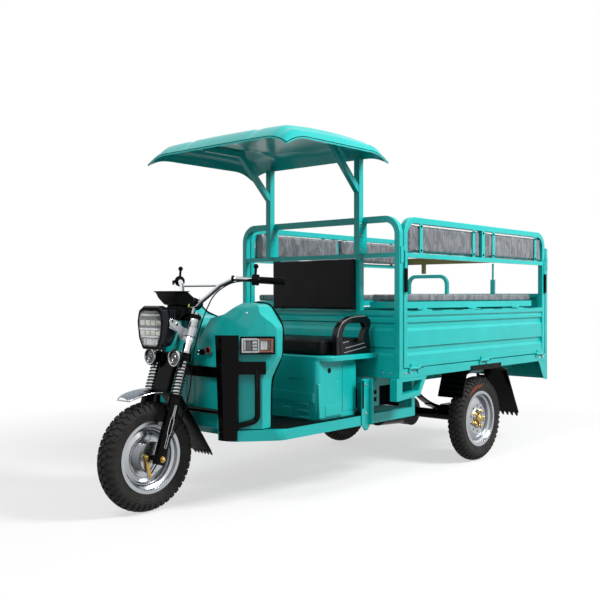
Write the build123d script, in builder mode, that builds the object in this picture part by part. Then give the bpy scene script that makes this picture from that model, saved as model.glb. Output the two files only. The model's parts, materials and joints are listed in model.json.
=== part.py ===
from build123d import *
from math import cos, radians, sin, tan
import os

# Electric cargo tricycle with a roofed rider's place and a box with drop sides and benches.
#
# Frame: +Z up, -Y is the way it drives, +X is its left side. The origin is on the ground, in the
# middle of the whole vehicle's length and width. All sizes are millimetres. Places along the
# vehicle are given as distances behind the front axle, through back().

os.makedirs("parts", exist_ok=True)

# ---------------------------------------------------------------- driving dimensions
# Wheels and stance
TYRE_R = 250  # 3.75-12 tyres on all three wheels
TYRE_W = 96
BEAD_R = 152
FLANGE_R = 165  # outside of the rim's flange
RIM_W = 72  # between the flanges
WHEELBASE = 2030
TRACK = 1024  # between the middles of the rear tyres

# Cargo box
BOX_FRONT = 1162  # front axle to the outside of the front hoop
BOX_LENGTH = 1693
LAMP_PROUD = 25  # tail lamps, past the box's back
BOX_W = 1162
BED_LOW = 552  # underside of the bed's edge rail
BED_TOP = 600
RAIL_TOP = 904  # top rail of the front panel and the side gates
HOOP_TOP = 1400
TUBE = 34  # square tube of the hoops
SLAT = 24  # flat tube of the middle rails
MID_RAIL = 1182  # underside of the middle rails
HOOP_CORNER = 100  # outer radius of a hoop's corner
SHEET = 3

# Rider's place
FLOOR_LOW = 312
FLOOR_TOP = 362
FLOOR_HALF = 430
FLOOR_T = 5
FRAME_KICK = 1112  # where the frame steps up from the floor to the bed
DECK_LOW = 657  # seat deck
DECK_TOP = 682
DECK_FRONT = 745
DECK_HALF = 436
SEAT_H = 80
SEAT_HALF = 380
COWL_HALF = 405
COWL_SKIN = 4

# Roof
ROOF_HALF = 505
ROOF_FRONT = 400
ROOF_BACK = 1170
ROOF_EDGE = 1673  # lower edge at the corners
ROOF_TOP = 1800
ROOF_SKIN = 7
ROOF_POST = 36
ROOF_POST_X = 328

# Steering
RAKE = 18.5  # steering axis, degrees from upright
FORK_OFFSET = 35  # the legs lie this far ahead of the steering axis
FORK_HALF = 97  # middle of a fork leg from the middle plane

# Clearances
GATE_GAP = 6  # between a gate and the posts beside it
RUNNING = 0.3  # round a shaft, and under a piece that only rests
HINGE_R = 7

# ---------------------------------------------------------------- places worked out from them
LENGTH = TYRE_R + BOX_FRONT + BOX_LENGTH + LAMP_PROUD
FRONT_AXLE_Y = TYRE_R - LENGTH / 2
HALF_BOX = BOX_W / 2
HALF_TRACK = TRACK / 2


def back(distance):
    """Y of a place that lies this far behind the front axle."""
    return FRONT_AXLE_Y + distance


REAR_AXLE_Y = back(WHEELBASE)
BOX_Y0 = back(BOX_FRONT)
BOX_Y1 = BOX_Y0 + BOX_LENGTH
GATE_Y0 = BOX_Y0 + TUBE + GATE_GAP
GATE_Y1 = BOX_Y1 - TUBE - GATE_GAP
GATE_LOW = BED_TOP + GATE_GAP
POST_IN = HALF_BOX - TUBE  # inner face of the corner posts

# The fork's frame: origin on the front axle, +Z up along the legs, +Y behind them.
FORK_PLANE = Plane(
    origin=(0, FRONT_AXLE_Y, TYRE_R),
    x_dir=(1, 0, 0),
    z_dir=(0, sin(radians(RAKE)), cos(radians(RAKE))),
)


# ---------------------------------------------------------------- helpers
def block(x, y, z, mode=Mode.ADD):
    """A box in the running part, from its low and high side along each axis."""
    with Locations(((x[0] + x[1]) / 2, (y[0] + y[1]) / 2, (z[0] + z[1]) / 2)):
        Box(x[1] - x[0], y[1] - y[0], z[1] - z[0], mode=mode)


def rod(start, end, radius, mode=Mode.ADD):
    """A round bar in the running part, from one point to another."""
    line = Vector(*end) - Vector(*start)
    plane = Plane(origin=start, z_dir=line)
    with Locations(plane):
        Cylinder(radius, line.length, align=(Align.CENTER, Align.CENTER, Align.MIN), mode=mode)


def bar(start, end, width, height, mode=Mode.ADD):
    """A flat bar in the running part; the width lies along the vehicle's width or level."""
    line = Vector(*end) - Vector(*start)
    side = Vector(0, 0, 1).cross(line)
    plane = Plane(origin=start, x_dir=side if side.length > 1e-6 else (1, 0, 0), z_dir=line)
    with Locations(plane):
        Box(width, height, line.length, align=(Align.CENTER, Align.CENTER, Align.MIN), mode=mode)


def keep(part, name):
    """Labels a finished piece and writes it as its own node."""
    part.label = name
    export_step(part, f"parts/{name}.step")


def keep_both(part, name):
    """The same for a piece and its mirror image on the other side of the vehicle."""
    keep(Compound(children=[*part.solids(), *mirror(part, about=Plane.YZ).solids()]), name)


def keep_pair(part, name):
    """A left-hand piece and its right-hand mirror image, as two nodes."""
    keep(part, f"left_{name}")
    keep(mirror(part, about=Plane.YZ), f"right_{name}")


# ---------------------------------------------------------------- wheels
AXLE_R = 10
WALL = 9  # tyre carcass
RIM_WALL = 4
DRUM_R = 66
DRUM_HALF = 40
NUTS = 5
NUT_CIRCLE = 46


def wheel_plane(x, y):
    """Half section of a wheel: local X along its axle, local Y outwards from it."""
    return Plane(origin=(x, y, TYRE_R), x_dir=(1, 0, 0), z_dir=(0, -1, 0))


def tyre(x, y):
    """A hollow carcass with an arched tread, open at the beads where the rim closes it."""
    half = TYRE_W / 2
    bead = RIM_W / 2
    foot = BEAD_R + RUNNING
    belly = (TYRE_R + FLANGE_R) / 2
    with BuildPart() as carcass:
        with BuildSketch(wheel_plane(x, y)):
            with BuildLine():
                crown = ThreePointArc((12 - half, TYRE_R - 13), (0, TYRE_R), (half - 12, TYRE_R - 13))
                side = ThreePointArc(crown @ 1, (half, belly), (bead, FLANGE_R))
                toe = Polyline(side @ 1, (bead, foot), (bead - WALL, foot), (bead - WALL, FLANGE_R))
                lining = ThreePointArc(toe @ 1, (half - WALL, belly), (half - 20, TYRE_R - 16 - WALL))
                roof = ThreePointArc(lining @ 1, (0, TYRE_R - 6 - WALL), (20 - half, TYRE_R - 16 - WALL))
                other = ThreePointArc(roof @ 1, (WALL - half, belly), (WALL - bead, FLANGE_R))
                heel = Polyline(other @ 1, (WALL - bead, foot), (-bead, foot), (-bead, FLANGE_R))
                ThreePointArc(heel @ 1, (-half, belly), crown @ 0)
            make_face()
        revolve(axis=Axis((x, y, TYRE_R), (1, 0, 0)))
    return carcass.part


def rim(x, y, side, web, hub_in, hub_out, bore):
    """A pressed rim with a dished web and its hub, in the running part.

    side is +1 for a rim whose outside faces +X; web and hub are given outwards from its middle.
    """
    lip = RIM_W / 2 + RUNNING
    well = BEAD_R - 14
    with BuildSketch(wheel_plane(x, y)) as section:
        with BuildLine():
            Polyline(
                (-lip - RIM_WALL, FLANGE_R - 1),
                (-lip, FLANGE_R - 1),
                (-lip, BEAD_R),
                (-20, BEAD_R - 2),
                (-12, well),
                (12, well),
                (20, BEAD_R - 2),
                (lip, BEAD_R),
                (lip, FLANGE_R - 1),
                (lip + RIM_WALL, FLANGE_R - 1),
                (lip + RIM_WALL, BEAD_R - RIM_WALL),
                (22, BEAD_R - 2 - RIM_WALL),
                (15, well - RIM_WALL),
                (-15, well - RIM_WALL),
                (-22, BEAD_R - 2 - RIM_WALL),
                (-lip - RIM_WALL, BEAD_R - RIM_WALL),
                close=True,
            )
        make_face()
        with BuildLine():
            Polyline(
                (side * (web - 14), well - 2),
                (side * (web - 8), well - 2),
                (side * (web + 6), 92),
                (side * (web + 6), DRUM_R - 4),
                (side * web, DRUM_R - 4),
                (side * web, 92),
                close=True,
            )
        make_face()
        with Locations((side * (hub_in + hub_out) / 2, (DRUM_R + bore) / 2)):
            Rectangle(hub_out - hub_in, DRUM_R - bore)
    revolve(section.sketch, axis=Axis((x, y, TYRE_R), (1, 0, 0)))


def front_wheel():
    """The front wheel with its brake drum, turning on the fork's spindle."""
    keep(tyre(0, FRONT_AXLE_Y), "front_tyre")
    with BuildPart() as wheel:
        rim(0, FRONT_AXLE_Y, 1, 0, -DRUM_HALF, DRUM_HALF, AXLE_R + RUNNING)
    keep(wheel.part, "front_rim")


HUB_PIN_R = 14
HUB_IN = -50
HUB_FACE = 18
HUB_NOSE = 42


def rear_wheels():
    """Two rear wheels, each on a drum hub with a ring of nuts round a domed centre."""
    for side, name in ((1, "left"), (-1, "right")):
        x = side * HALF_TRACK
        keep(tyre(x, REAR_AXLE_Y), f"rear_{name}_tyre")
        outward = Plane(origin=(x + side * HUB_FACE, REAR_AXLE_Y, TYRE_R), z_dir=(side, 0, 0))
        with BuildPart() as wheel:
            rim(x, REAR_AXLE_Y, side, HUB_FACE - 6, HUB_IN, HUB_FACE, HUB_PIN_R + RUNNING)
            with BuildSketch(outward):
                Circle(30)
            extrude(amount=HUB_NOSE - HUB_FACE, taper=8)
            with BuildSketch(outward):
                with PolarLocations(NUT_CIRCLE, NUTS):
                    RegularPolygon(11, 6)
            extrude(amount=14)
        keep(wheel.part, f"rear_{name}_rim")


# ---------------------------------------------------------------- fork and what turns with it
SLIDER_TOP = 285
SPRING_TOP = 462
YOKE_TOP = 488
CLAMP_LOW = 655
CLAMP_TOP = 675
YOKE_R = 26
STEM_R = 15
HEAD_R = 27
HEAD_GAP = 2
FENDER_R = 300
FENDER_T = 4
FENDER_HALF = 70
SPRING_R = 34
SPRING_WIRE = 4.5
SPRING_TURNS = 9.5
SPRING_SEAT = 6  # thickness of the collars that the springs press on


def fork():
    """Two raked legs between a lower yoke and an upper clamp, with the stem behind them."""
    with BuildPart() as legs:
        for side in (1, -1):
            x = side * FORK_HALF
            with BuildSketch(FORK_PLANE.offset(-26)):
                with Locations((x, 0)):
                    RectangleRounded(40, 52, 12)
            extrude(amount=SLIDER_TOP + 26)
            with BuildSketch(FORK_PLANE.offset(SLIDER_TOP)):
                with Locations((x, 0)):
                    Circle(18)
            extrude(amount=SPRING_TOP - SLIDER_TOP)
            with BuildSketch(FORK_PLANE.offset(YOKE_TOP)):
                with Locations((x, 0)):
                    Circle(23)
            extrude(amount=CLAMP_LOW - YOKE_TOP)
            for seat in (SLIDER_TOP, SPRING_TOP - SPRING_SEAT):
                with BuildSketch(FORK_PLANE.offset(seat)):
                    with Locations((x, 0)):
                        Circle(SPRING_R - 2)
                extrude(amount=SPRING_SEAT)
        for low, high in ((SPRING_TOP, YOKE_TOP), (CLAMP_LOW, CLAMP_TOP)):
            with BuildSketch(FORK_PLANE.offset(low)):
                with Locations((FORK_HALF, 0), (-FORK_HALF, 0)):
                    Circle(YOKE_R)
                with Locations((0, FORK_OFFSET)):
                    Circle(YOKE_R + 4)
                make_hull()
            extrude(amount=high - low)
        with BuildSketch(FORK_PLANE.offset(YOKE_TOP)):
            with Locations((0, FORK_OFFSET)):
                Circle(STEM_R)
        extrude(amount=CLAMP_LOW - YOKE_TOP)
        with BuildSketch(FORK_PLANE.offset(FENDER_R + FENDER_T + RUNNING)):
            with Locations((0, -6)):
                RectangleRounded(104, 26, 8)
        extrude(amount=SPRING_TOP - FENDER_R - FENDER_T - RUNNING)
        rod((-FORK_HALF, FRONT_AXLE_Y, TYRE_R), (FORK_HALF, FRONT_AXLE_Y, TYRE_R), AXLE_R)
    keep(legs.part, "fork")


def fork_springs():
    """Coil springs round the legs, from the sliders up to the yoke."""
    end = SPRING_SEAT + SPRING_WIRE + RUNNING
    height = SPRING_TOP - SLIDER_TOP - 2 * end
    with BuildPart() as coil:
        foot = FORK_PLANE.from_local_coords((FORK_HALF, 0, SLIDER_TOP + end))
        with BuildLine() as path:
            Helix(
                pitch=height / SPRING_TURNS,
                height=height,
                radius=SPRING_R - SPRING_WIRE,
                center=foot,
                direction=FORK_PLANE.z_dir,
            )
        with BuildSketch(Plane(origin=path.line @ 0, z_dir=path.line % 0)):
            Circle(SPRING_WIRE)
        sweep(path=path.line, is_frenet=True)
    keep_both(coil.part, "fork_springs")


def brake_plate():
    """The drum's back plate with its brass lever, held on the spindle beside the left leg."""
    face = DRUM_HALF + 2
    with BuildPart() as plate:
        with BuildSketch(Plane(origin=(face, FRONT_AXLE_Y, TYRE_R), z_dir=(1, 0, 0))):
            Circle(DRUM_R + 6)
            Circle(AXLE_R + RUNNING, mode=Mode.SUBTRACT)
        extrude(amount=8, taper=20)
        rod((face + 8, back(-38), TYRE_R), (face + 20, back(-38), TYRE_R), 7)
        bar((face + 16, back(-38), TYRE_R + 8), (face + 16, back(-30), TYRE_R - 80), 6, 16)
    keep(plate.part, "brake_plate")


BAR_R = 11
BAR_Z = 925  # height of the bar in its clamps
GRIP_R = 16
RISER_H = 44


def bar_points():
    """The left half of the handlebar, from the middle of the clamp to its end."""
    return [
        (0, back(246), BAR_Z),
        (40, back(252), BAR_Z),
        (139, back(326), 1030),
        (200, back(362), 1062),
        (382, back(512), 1048),
    ]


def handlebar():
    """A swept-back tubular bar with a cross brace, on two risers."""
    left = bar_points()[1:]
    right = [(-x, y, z) for x, y, z in reversed(left)]
    with BuildPart() as tube:
        with BuildLine() as path:
            FilletPolyline(*right, *left, radius=34)
        with BuildSketch(Plane(origin=path.line @ 0, z_dir=path.line % 0)):
            Circle(BAR_R)
        sweep()
        rod((-139, back(326), 1030), (139, back(326), 1030), 6)
        for side in (1, -1):
            foot = FORK_PLANE.from_local_coords((side * 34, FORK_OFFSET - 11, CLAMP_TOP + RUNNING))
            rod(tuple(foot), tuple(foot + FORK_PLANE.z_dir * RISER_H), 14)
    keep(tube.part, "handlebar")


def bar_controls():
    """Grips, switch pods, levers and the empty mirror clamps."""
    end = Vector(*bar_points()[-1])
    bend = Vector(*bar_points()[-2])
    line = (end - bend).normalized()
    start = end - line * 118
    with BuildPart() as grip:
        rod(tuple(start), tuple(end + line * 4), GRIP_R)
        pod = start - line * 34
        rod(tuple(pod), tuple(start - line * 2), 26)
        rod(tuple(pod + line * 14), tuple(pod + line * 14 + Vector(0, 6, 62)), 6)
        with Locations(tuple(pod + line * 14 + Vector(0, 6, 64))):
            Sphere(12)
        rod(tuple(bend), tuple(end + line * 5), BAR_R + RUNNING, mode=Mode.SUBTRACT)
        bar(
            tuple(pod + Vector(8, -34, -4)),
            tuple(end + Vector(-26, -64, -6)),
            12,
            8,
        )
        rod(tuple(pod + line * 8), tuple(pod + Vector(10, -36, -4)), 7)
        rod(tuple(bend), tuple(end + line * 5), BAR_R + RUNNING, mode=Mode.SUBTRACT)
    keep_both(grip.part, "bar_controls")


CABLE_R = 3


def brake_cable():
    """The front brake's cable, from its lever down beside the left leg to the drum's lever."""
    route = [
        (264.9, back(388), 1052.5),
        (210, back(330), 1044),
        (166, back(262), 990),
        (150, back(204), 870),
        (141, back(154), 700),
        (138, back(146), 560),
        (124, back(116), 430),
        (76, back(78), 330),
        (62, back(30), 240),
        (59, back(-20.2), 179),
    ]
    points = [Vector(*point) for point in route]
    radii = []
    for before, here, after in zip(points, points[1:], points[2:]):
        turn = (here - before).get_angle(after - here)
        radii.append(0.45 * min((here - before).length, (after - here).length) / tan(radians(turn / 2)))
    print("brake cable radii:", [round(radius) for radius in radii])
    with BuildPart() as cable:
        with BuildLine() as path:
            FilletPolyline(*route, radius=radii)
        with BuildSketch(Plane(origin=path.line @ 0, z_dir=path.line % 0)):
            Circle(CABLE_R)
        sweep()
    keep(cable.part, "brake_cable")


LAMP_LOW = 743
LAMP_TOP = 911


def headlight():
    """An eight-sided lamp housing that narrows downwards, with its clear front let in."""
    face = Plane(origin=(0, back(22), 0), x_dir=(1, 0, 0), z_dir=(0, -1, 0))
    outline = [(46, LAMP_LOW), (66, 790), (77, 860), (70, 896), (44, LAMP_TOP)]
    with BuildPart() as housing:
        with BuildSketch(face):
            with BuildLine():
                Polyline(*outline, *[(-x, z) for x, z in reversed(outline)], close=True)
            make_face()
        extrude(amount=-118, taper=9)
        with BuildSketch(face):
            with BuildLine():
                Polyline(*outline, *[(-x, z) for x, z in reversed(outline)], close=True)
            make_face()
            offset(amount=-7)
        extrude(amount=-5, mode=Mode.SUBTRACT)
    keep(housing.part, "headlight")
    with BuildPart() as lens:
        with BuildSketch(face.offset(-5 + RUNNING)):
            with BuildLine():
                Polyline(*outline, *[(-x, z) for x, z in reversed(outline)], close=True)
            make_face()
            offset(amount=-7.5)
        extrude(amount=6)
    keep(lens.part, "headlight_lens")


def lamp_ears():
    """Two bright brackets that hold the headlight on the fork's upper tubes."""
    with BuildPart() as ears:
        with BuildSketch(FORK_PLANE.offset(570)):
            with Locations((FORK_HALF, 0)):
                Circle(28)
                Circle(23 + RUNNING, mode=Mode.SUBTRACT)
        extrude(amount=44)
        bar((FORK_HALF - 14, back(158), 809), (FORK_HALF - 14, back(70), 848), 6, 26)
        rod((FORK_HALF - 14, back(72), 847), (68.6, back(72), 847), 6)
    keep_both(ears.part, "lamp_ears")


def fog_lamps():
    """A pair of round lamps with bright rims below the headlight, in front of the yoke."""
    with BuildPart() as lamps:
        with BuildSketch(Plane(origin=(86, back(70), 690), z_dir=(0, -1, 0))):
            Circle(33)
        extrude(amount=-34, taper=12)
        with BuildSketch(Plane(origin=(86, back(70), 690), z_dir=(0, -1, 0))):
            Circle(27)
        extrude(amount=-5, mode=Mode.SUBTRACT)
        yoke_face = -YOKE_R - RUNNING
        near = FORK_PLANE.from_local_coords((86, yoke_face - 34, SPRING_TOP + 10))
        far = FORK_PLANE.from_local_coords((86, yoke_face, SPRING_TOP + 10))
        bar(tuple(near), tuple(far), 20, 14)
    keep_both(lamps.part, "fog_lamps")


def dash():
    """The instrument pod and the peaked visor over the headlight."""
    half = 84
    with BuildPart() as pod:
        with BuildSketch(Plane.YZ.offset(-half)):
            with BuildLine():
                Polyline(
                    (back(40), 1004),
                    (back(180), 1000),
                    (back(226), 974),
                    (back(226), 942),
                    (back(190), 926),
                    (back(92), 924),
                    (back(40), 996),
                    close=True,
                )
            make_face()
        extrude(amount=2 * half)
        block((-20, 20), (back(216), back(256)), (BAR_Z + BAR_R + RUNNING, 952))
    keep(pod.part, "dash")



def over_tyre(radius, angle):
    """A point in the middle plane, by its distance and direction from the front axle."""
    return (back(radius * cos(radians(angle))), TYRE_R + radius * sin(radians(angle)))


def front_fender():
    """A bright blade over the front of the tyre, curved round the axle."""
    axle = (back(0), TYRE_R)
    with BuildPart() as blade:
        with BuildSketch(Plane.YZ.offset(-FENDER_HALF)):
            with BuildLine():
                outer = CenterArc(axle, FENDER_R + FENDER_T, 66, 54)
                inner = CenterArc(axle, FENDER_R, 66, 54)
                Line(outer @ 0, inner @ 0)
                Line(outer @ 1, inner @ 1)
            make_face()
        extrude(amount=2 * FENDER_HALF)
        for side in (1, -1):
            with BuildSketch(FORK_PLANE.offset(FENDER_R - 40)):
                with Locations((side * FORK_HALF, 0)):
                    Circle(SPRING_R + 2)
            extrude(amount=80, mode=Mode.SUBTRACT)
    keep(blade.part, "front_fender")


def mud_flap():
    """The black rear half of the front mudguard, running down behind the tyre."""
    with BuildPart() as flap:
        with BuildSketch(Plane.YZ.offset(-FENDER_HALF)):
            with BuildLine():
                Polyline(
                    over_tyre(FENDER_R - RUNNING, 74),
                    over_tyre(FENDER_R - RUNNING, 66),
                    (back(152), TYRE_R + 264),
                    (back(334), TYRE_R - 14),
                    (back(328), TYRE_R - 18),
                    (back(146), TYRE_R + 258),
                    over_tyre(FENDER_R - RUNNING - 5, 66),
                    over_tyre(FENDER_R - RUNNING - 5, 74),
                    close=True,
                )
            make_face()
        extrude(amount=2 * FENDER_HALF)
        for side in (1, -1):
            with BuildSketch(FORK_PLANE.offset(FENDER_R - 60)):
                with Locations((side * FORK_HALF, 0)):
                    Circle(SPRING_R + 4)
            extrude(amount=80, mode=Mode.SUBTRACT)
    keep(flap.part, "mud_flap")


# ---------------------------------------------------------------- frame under everything
RAIL_X = 330
RAIL_W = 44
RAIL_LOW = 490
DOWN_TUBE_R = 20
BEAM_W = 30  # floor beam
BEAM_X = FLOOR_HALF - BEAM_W / 2
BEAM_TOP = FLOOR_TOP - 6  # spine and cross members, under the footboard
BEAM_FRONT = 276
BEAM_END = 1522


def frame():
    """Head tube and the down tube that joins it to the spine of the floor frame."""
    head_low = FORK_PLANE.from_local_coords((0, FORK_OFFSET, YOKE_TOP + HEAD_GAP))
    head_top = FORK_PLANE.from_local_coords((0, FORK_OFFSET, CLAMP_LOW - HEAD_GAP))
    head_mid = FORK_PLANE.from_local_coords((0, FORK_OFFSET + HEAD_R - 8, 560))
    with BuildPart() as head:
        rod(tuple(head_mid), (0, back(430), BEAM_TOP - 20), DOWN_TUBE_R)
        block((-60, 60), (back(300), back(600)), (FLOOR_LOW - 60, BEAM_TOP), mode=Mode.SUBTRACT)
        rod(tuple(head_low), tuple(head_top), HEAD_R)
        rod(tuple(head_low), tuple(head_top), STEM_R + RUNNING, mode=Mode.SUBTRACT)
    keep(head.part, "frame")


def floor_beam(side, spare, mode=Mode.ADD):
    """One side of the bent beam round the rider's floor, made larger all round by spare."""
    middle = (FLOOR_LOW + FLOOR_TOP) / 2
    with BuildLine() as path:
        FilletPolyline(
            (side * BEAM_X, back(BEAM_END), middle),
            (side * BEAM_X, back(452), middle),
            (side * 268, back(BEAM_FRONT), middle),
            (side * (196 - spare), back(BEAM_FRONT), middle),
            radius=70,
        )
    with BuildSketch(Plane(origin=path.line @ 0, x_dir=(1, 0, 0), z_dir=path.line % 0)) as section:
        Rectangle(BEAM_W + 2 * spare, FLOOR_TOP - FLOOR_LOW + 2 * spare)
    sweep(section.sketch, path=path.line, mode=mode)


def floor_frame():
    """The bent beam round the rider's floor, with its spine and cross members."""
    with BuildPart() as ring:
        for side in (1, -1):
            floor_beam(side, 0)
        block((-24, 24), (back(375), back(1110)), (FLOOR_LOW, BEAM_TOP))
        block((-345, 345), (back(375), back(403)), (FLOOR_LOW, BEAM_TOP))
        for place in (470, 770, FRAME_KICK - 6, BEAM_END - 30):
            block((-BEAM_X, BEAM_X), (back(place), back(place + 30)), (FLOOR_LOW, BEAM_TOP))
    keep(ring.part, "floor_frame")


def rails():
    """The two rails that carry the box and the springs, on uprights from the floor frame."""
    with BuildPart() as ladder:
        for side in (1, -1):
            block(
                sorted((side * (RAIL_X - RAIL_W / 2), side * (RAIL_X + RAIL_W / 2))),
                (back(FRAME_KICK), back(2800)),
                (RAIL_LOW, BED_LOW),
            )
            for place in (FRAME_KICK, BEAM_END - 30):
                block(
                    sorted((side * (RAIL_X + 12), side * FLOOR_HALF)),
                    (back(place), back(place + 30)),
                    (FLOOR_TOP, RAIL_LOW + 30),
                )
        for place in (FRAME_KICK, BEAM_END - 30, 2400, 2760):
            block((-RAIL_X, RAIL_X), (back(place), back(place + 36)), (RAIL_LOW + 4, BED_LOW - 4))
    keep(ladder.part, "rails")


def hanging_brackets():
    """Pointed plates on the outside of the floor frame that reach up to the box."""
    with BuildPart() as plate:
        with BuildSketch(Plane.YZ.offset(FLOOR_HALF + RUNNING)):
            with BuildLine():
                Polyline(
                    (back(1036), BED_LOW - RUNNING),
                    (back(1036), FLOOR_LOW),
                    (back(1062), FLOOR_LOW - 28),
                    (back(1082), FLOOR_LOW - 28),
                    (back(1104), FLOOR_LOW),
                    (back(1104), BED_LOW - RUNNING),
                    close=True,
                )
            make_face()
        extrude(amount=6)
        block(
            (FLOOR_HALF + RUNNING, FLOOR_HALF + 26),
            (back(1098), back(1104)),
            (FLOOR_LOW, BED_LOW - RUNNING),
        )
    keep_both(plate.part, "hanging_brackets")


def floor_board():
    """The rider's footboard on the floor frame, narrowing to the front under the cowl."""
    with BuildPart() as board:
        with BuildSketch(Plane.XY.offset(FLOOR_TOP)):
            with BuildLine():
                nose = [(200, back(300)), (262, back(300))]
                half = nose + [(FLOOR_HALF - 40, back(450)), (FLOOR_HALF - 6, back(486))]
                rear = [(FLOOR_HALF - 6, back(FRAME_KICK - 4))]
                outline = [*half, *rear]
                Polyline(*outline, *[(-x, y) for x, y in reversed(outline)], close=True)
            make_face()
        extrude(amount=FLOOR_T)
        block((-34, 34), (back(280), back(460)), (FLOOR_TOP, FLOOR_TOP + FLOOR_T), mode=Mode.SUBTRACT)
    keep(board.part, "floor_board")


# ---------------------------------------------------------------- cowl and guard
COWL_CORNER = Vector(246, back(258))  # plan corners of the cowl's left half
COWL_WING = Vector(376, back(396))
ALONG = (COWL_WING - COWL_CORNER).normalized()
OUTWARD = Vector(-ALONG.Y, ALONG.X) * -1


def beside_cowl(along, out):
    """Plan point beside the cowl's slanting side: along it from the corner, and out from it."""
    place = COWL_CORNER + ALONG * along + OUTWARD * out
    return (place.X, place.Y)


def cowl_plan(inset):
    """Half plan of the cowl from its rear edge forward to the middle, shrunk by inset."""
    return [
        (COWL_HALF - inset, back(560)),
        (COWL_HALF - inset, back(436)),
        (COWL_WING.X - inset, COWL_WING.Y + inset * 0.7),
        (COWL_CORNER.X - inset * 0.6, COWL_CORNER.Y + inset),
        (0, back(266) + inset),
    ]


def cowl_solid(inset, rear):
    """The block that the cowl's skin wraps: plan, front view and side view, intersected."""
    plan = cowl_plan(inset)
    foot_half = 364 - inset
    half = COWL_HALF - inset
    with BuildPart() as body:
        with BuildSketch(Plane.XY.offset(300)) as level:
            with BuildLine():
                Polyline(*plan, *[(-x, y) for x, y in reversed(plan[:-1])], close=True)
            make_face()
            corners = level.vertices().sort_by(Axis.Y)
            fillet(corners[0:2], 46 - inset)
            fillet(level.vertices().filter_by(lambda v: abs(abs(v.X) - COWL_WING.X + inset) < 1), 60 - inset)
        extrude(amount=700)
        with BuildSketch(Plane.XZ) as face:
            with BuildLine():
                outline = [(foot_half, 290), (foot_half, 596), (half, 700), (half, 838), (322, 940 - inset)]
                crown = [(205, 950 - inset), (118, 893 - inset), (30, 872 - inset), (0, 770 - inset)]
                points = outline + crown
                Polyline(*points, *[(-x, z) for x, z in reversed(points[:-1])], close=True)
            make_face()
            for x, z, radius in (
                (foot_half, 596, 70),
                (half, 700, 70),
                (half, 838, 60),
                (322, 940 - inset, 70),
                (205, 950 - inset, 50),
                (118, 893 - inset, 40),
                (30, 872 - inset, 8),
            ):
                level_corners = face.vertices().filter_by(lambda v: abs(v.Y - z) < 0.5)
                fillet(level_corners.filter_by(lambda v: abs(abs(v.X) - x) < 0.5), radius)
        extrude(amount=3000, both=True, mode=Mode.INTERSECT)
        with BuildSketch(Plane.YZ) as flank:
            with BuildLine():
                Polyline(
                    (back(250) + inset, 290),
                    (back(250) + inset, 630),
                    (back(388) + inset, 925),
                    (back(430) + inset, 960),
                    (back(rear + 36), 960),
                    (back(rear + 36), 720),
                    (back(rear), 560),
                    (back(rear), 290),
                    close=True,
                )
            make_face()
            fillet(flank.vertices().filter_by(lambda v: abs(v.Y - 630) < 1), 160)
            fillet(flank.vertices().filter_by(lambda v: abs(v.Y - 925) < 1), 60)
        extrude(amount=3000, both=True, mode=Mode.INTERSECT)
    return body.part


def cowl():
    """The leg shield: a thin skin, open to the rider, with an arch cut for the front wheel."""
    with BuildPart() as skin:
        add(cowl_solid(0, 444))
        add(cowl_solid(COWL_SKIN, 500), mode=Mode.SUBTRACT)
        block((-190, 190), (back(200), back(300)), (290, 425), mode=Mode.SUBTRACT)
        block((-500, 500), (back(294), back(600)), (280, FLOOR_TOP + FLOOR_T + RUNNING), mode=Mode.SUBTRACT)
        block((-500, 500), (back(200), back(600)), (280, FLOOR_TOP + RUNNING), mode=Mode.SUBTRACT)
        block((-32, 32), (back(200), back(330)), (290, 720), mode=Mode.SUBTRACT)
    keep(skin.part, "front_cowl")


def turn_signals():
    """Lamps on the slanting sides of the cowl, each wrapped round the cowl's outer corner."""
    wing = COWL_WING + OUTWARD * RUNNING
    with BuildPart() as lamp:
        with BuildSketch(Plane.XY.offset(SIGNAL_LOW)):
            with BuildLine():
                Polyline(
                    beside_cowl(SLAB_ALONG + 3, RUNNING),
                    (wing.X, wing.Y),
                    (401, back(428)),
                    (411, back(424)),
                    beside_cowl(194, 18),
                    beside_cowl(SLAB_ALONG + 7, 18),
                    close=True,
                )
            make_face()
        extrude(amount=SIGNAL_TOP - SIGNAL_LOW)
    keep_both(lamp.part, "turn_signals")


SLAB_ALONG = 64  # the guard's corner slabs reach this far along the cowl's sides
SIGNAL_LOW = 712
SIGNAL_TOP = 794
GUARD_LOW = 318
GUARD_TOP = 800
SLAB_T = 24
GUARD_TUBE_R = 13


def guard_slab(side):
    """A corner slab of the guard: it wraps the cowl's corner and leans back towards its foot."""
    rear = beside_cowl(0, RUNNING)
    rear_end = beside_cowl(SLAB_ALONG, RUNNING)
    head = [(208, back(256)), (208, back(232)), (252, back(230)), beside_cowl(SLAB_ALONG, SLAB_T)]
    foot = [(232, back(256)), (232, back(234)), (262, back(234)), beside_cowl(52, SLAB_T + 8)]
    levels = []
    for height, outline in ((GUARD_LOW, foot), (GUARD_TOP, head)):
        with BuildSketch(Plane.XY.offset(height)) as level:
            with BuildLine():
                Polyline(*[(side * x, y) for x, y in outline + [rear_end, rear]], close=True)
            make_face()
        levels.append(level.sketch)
    return levels


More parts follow.
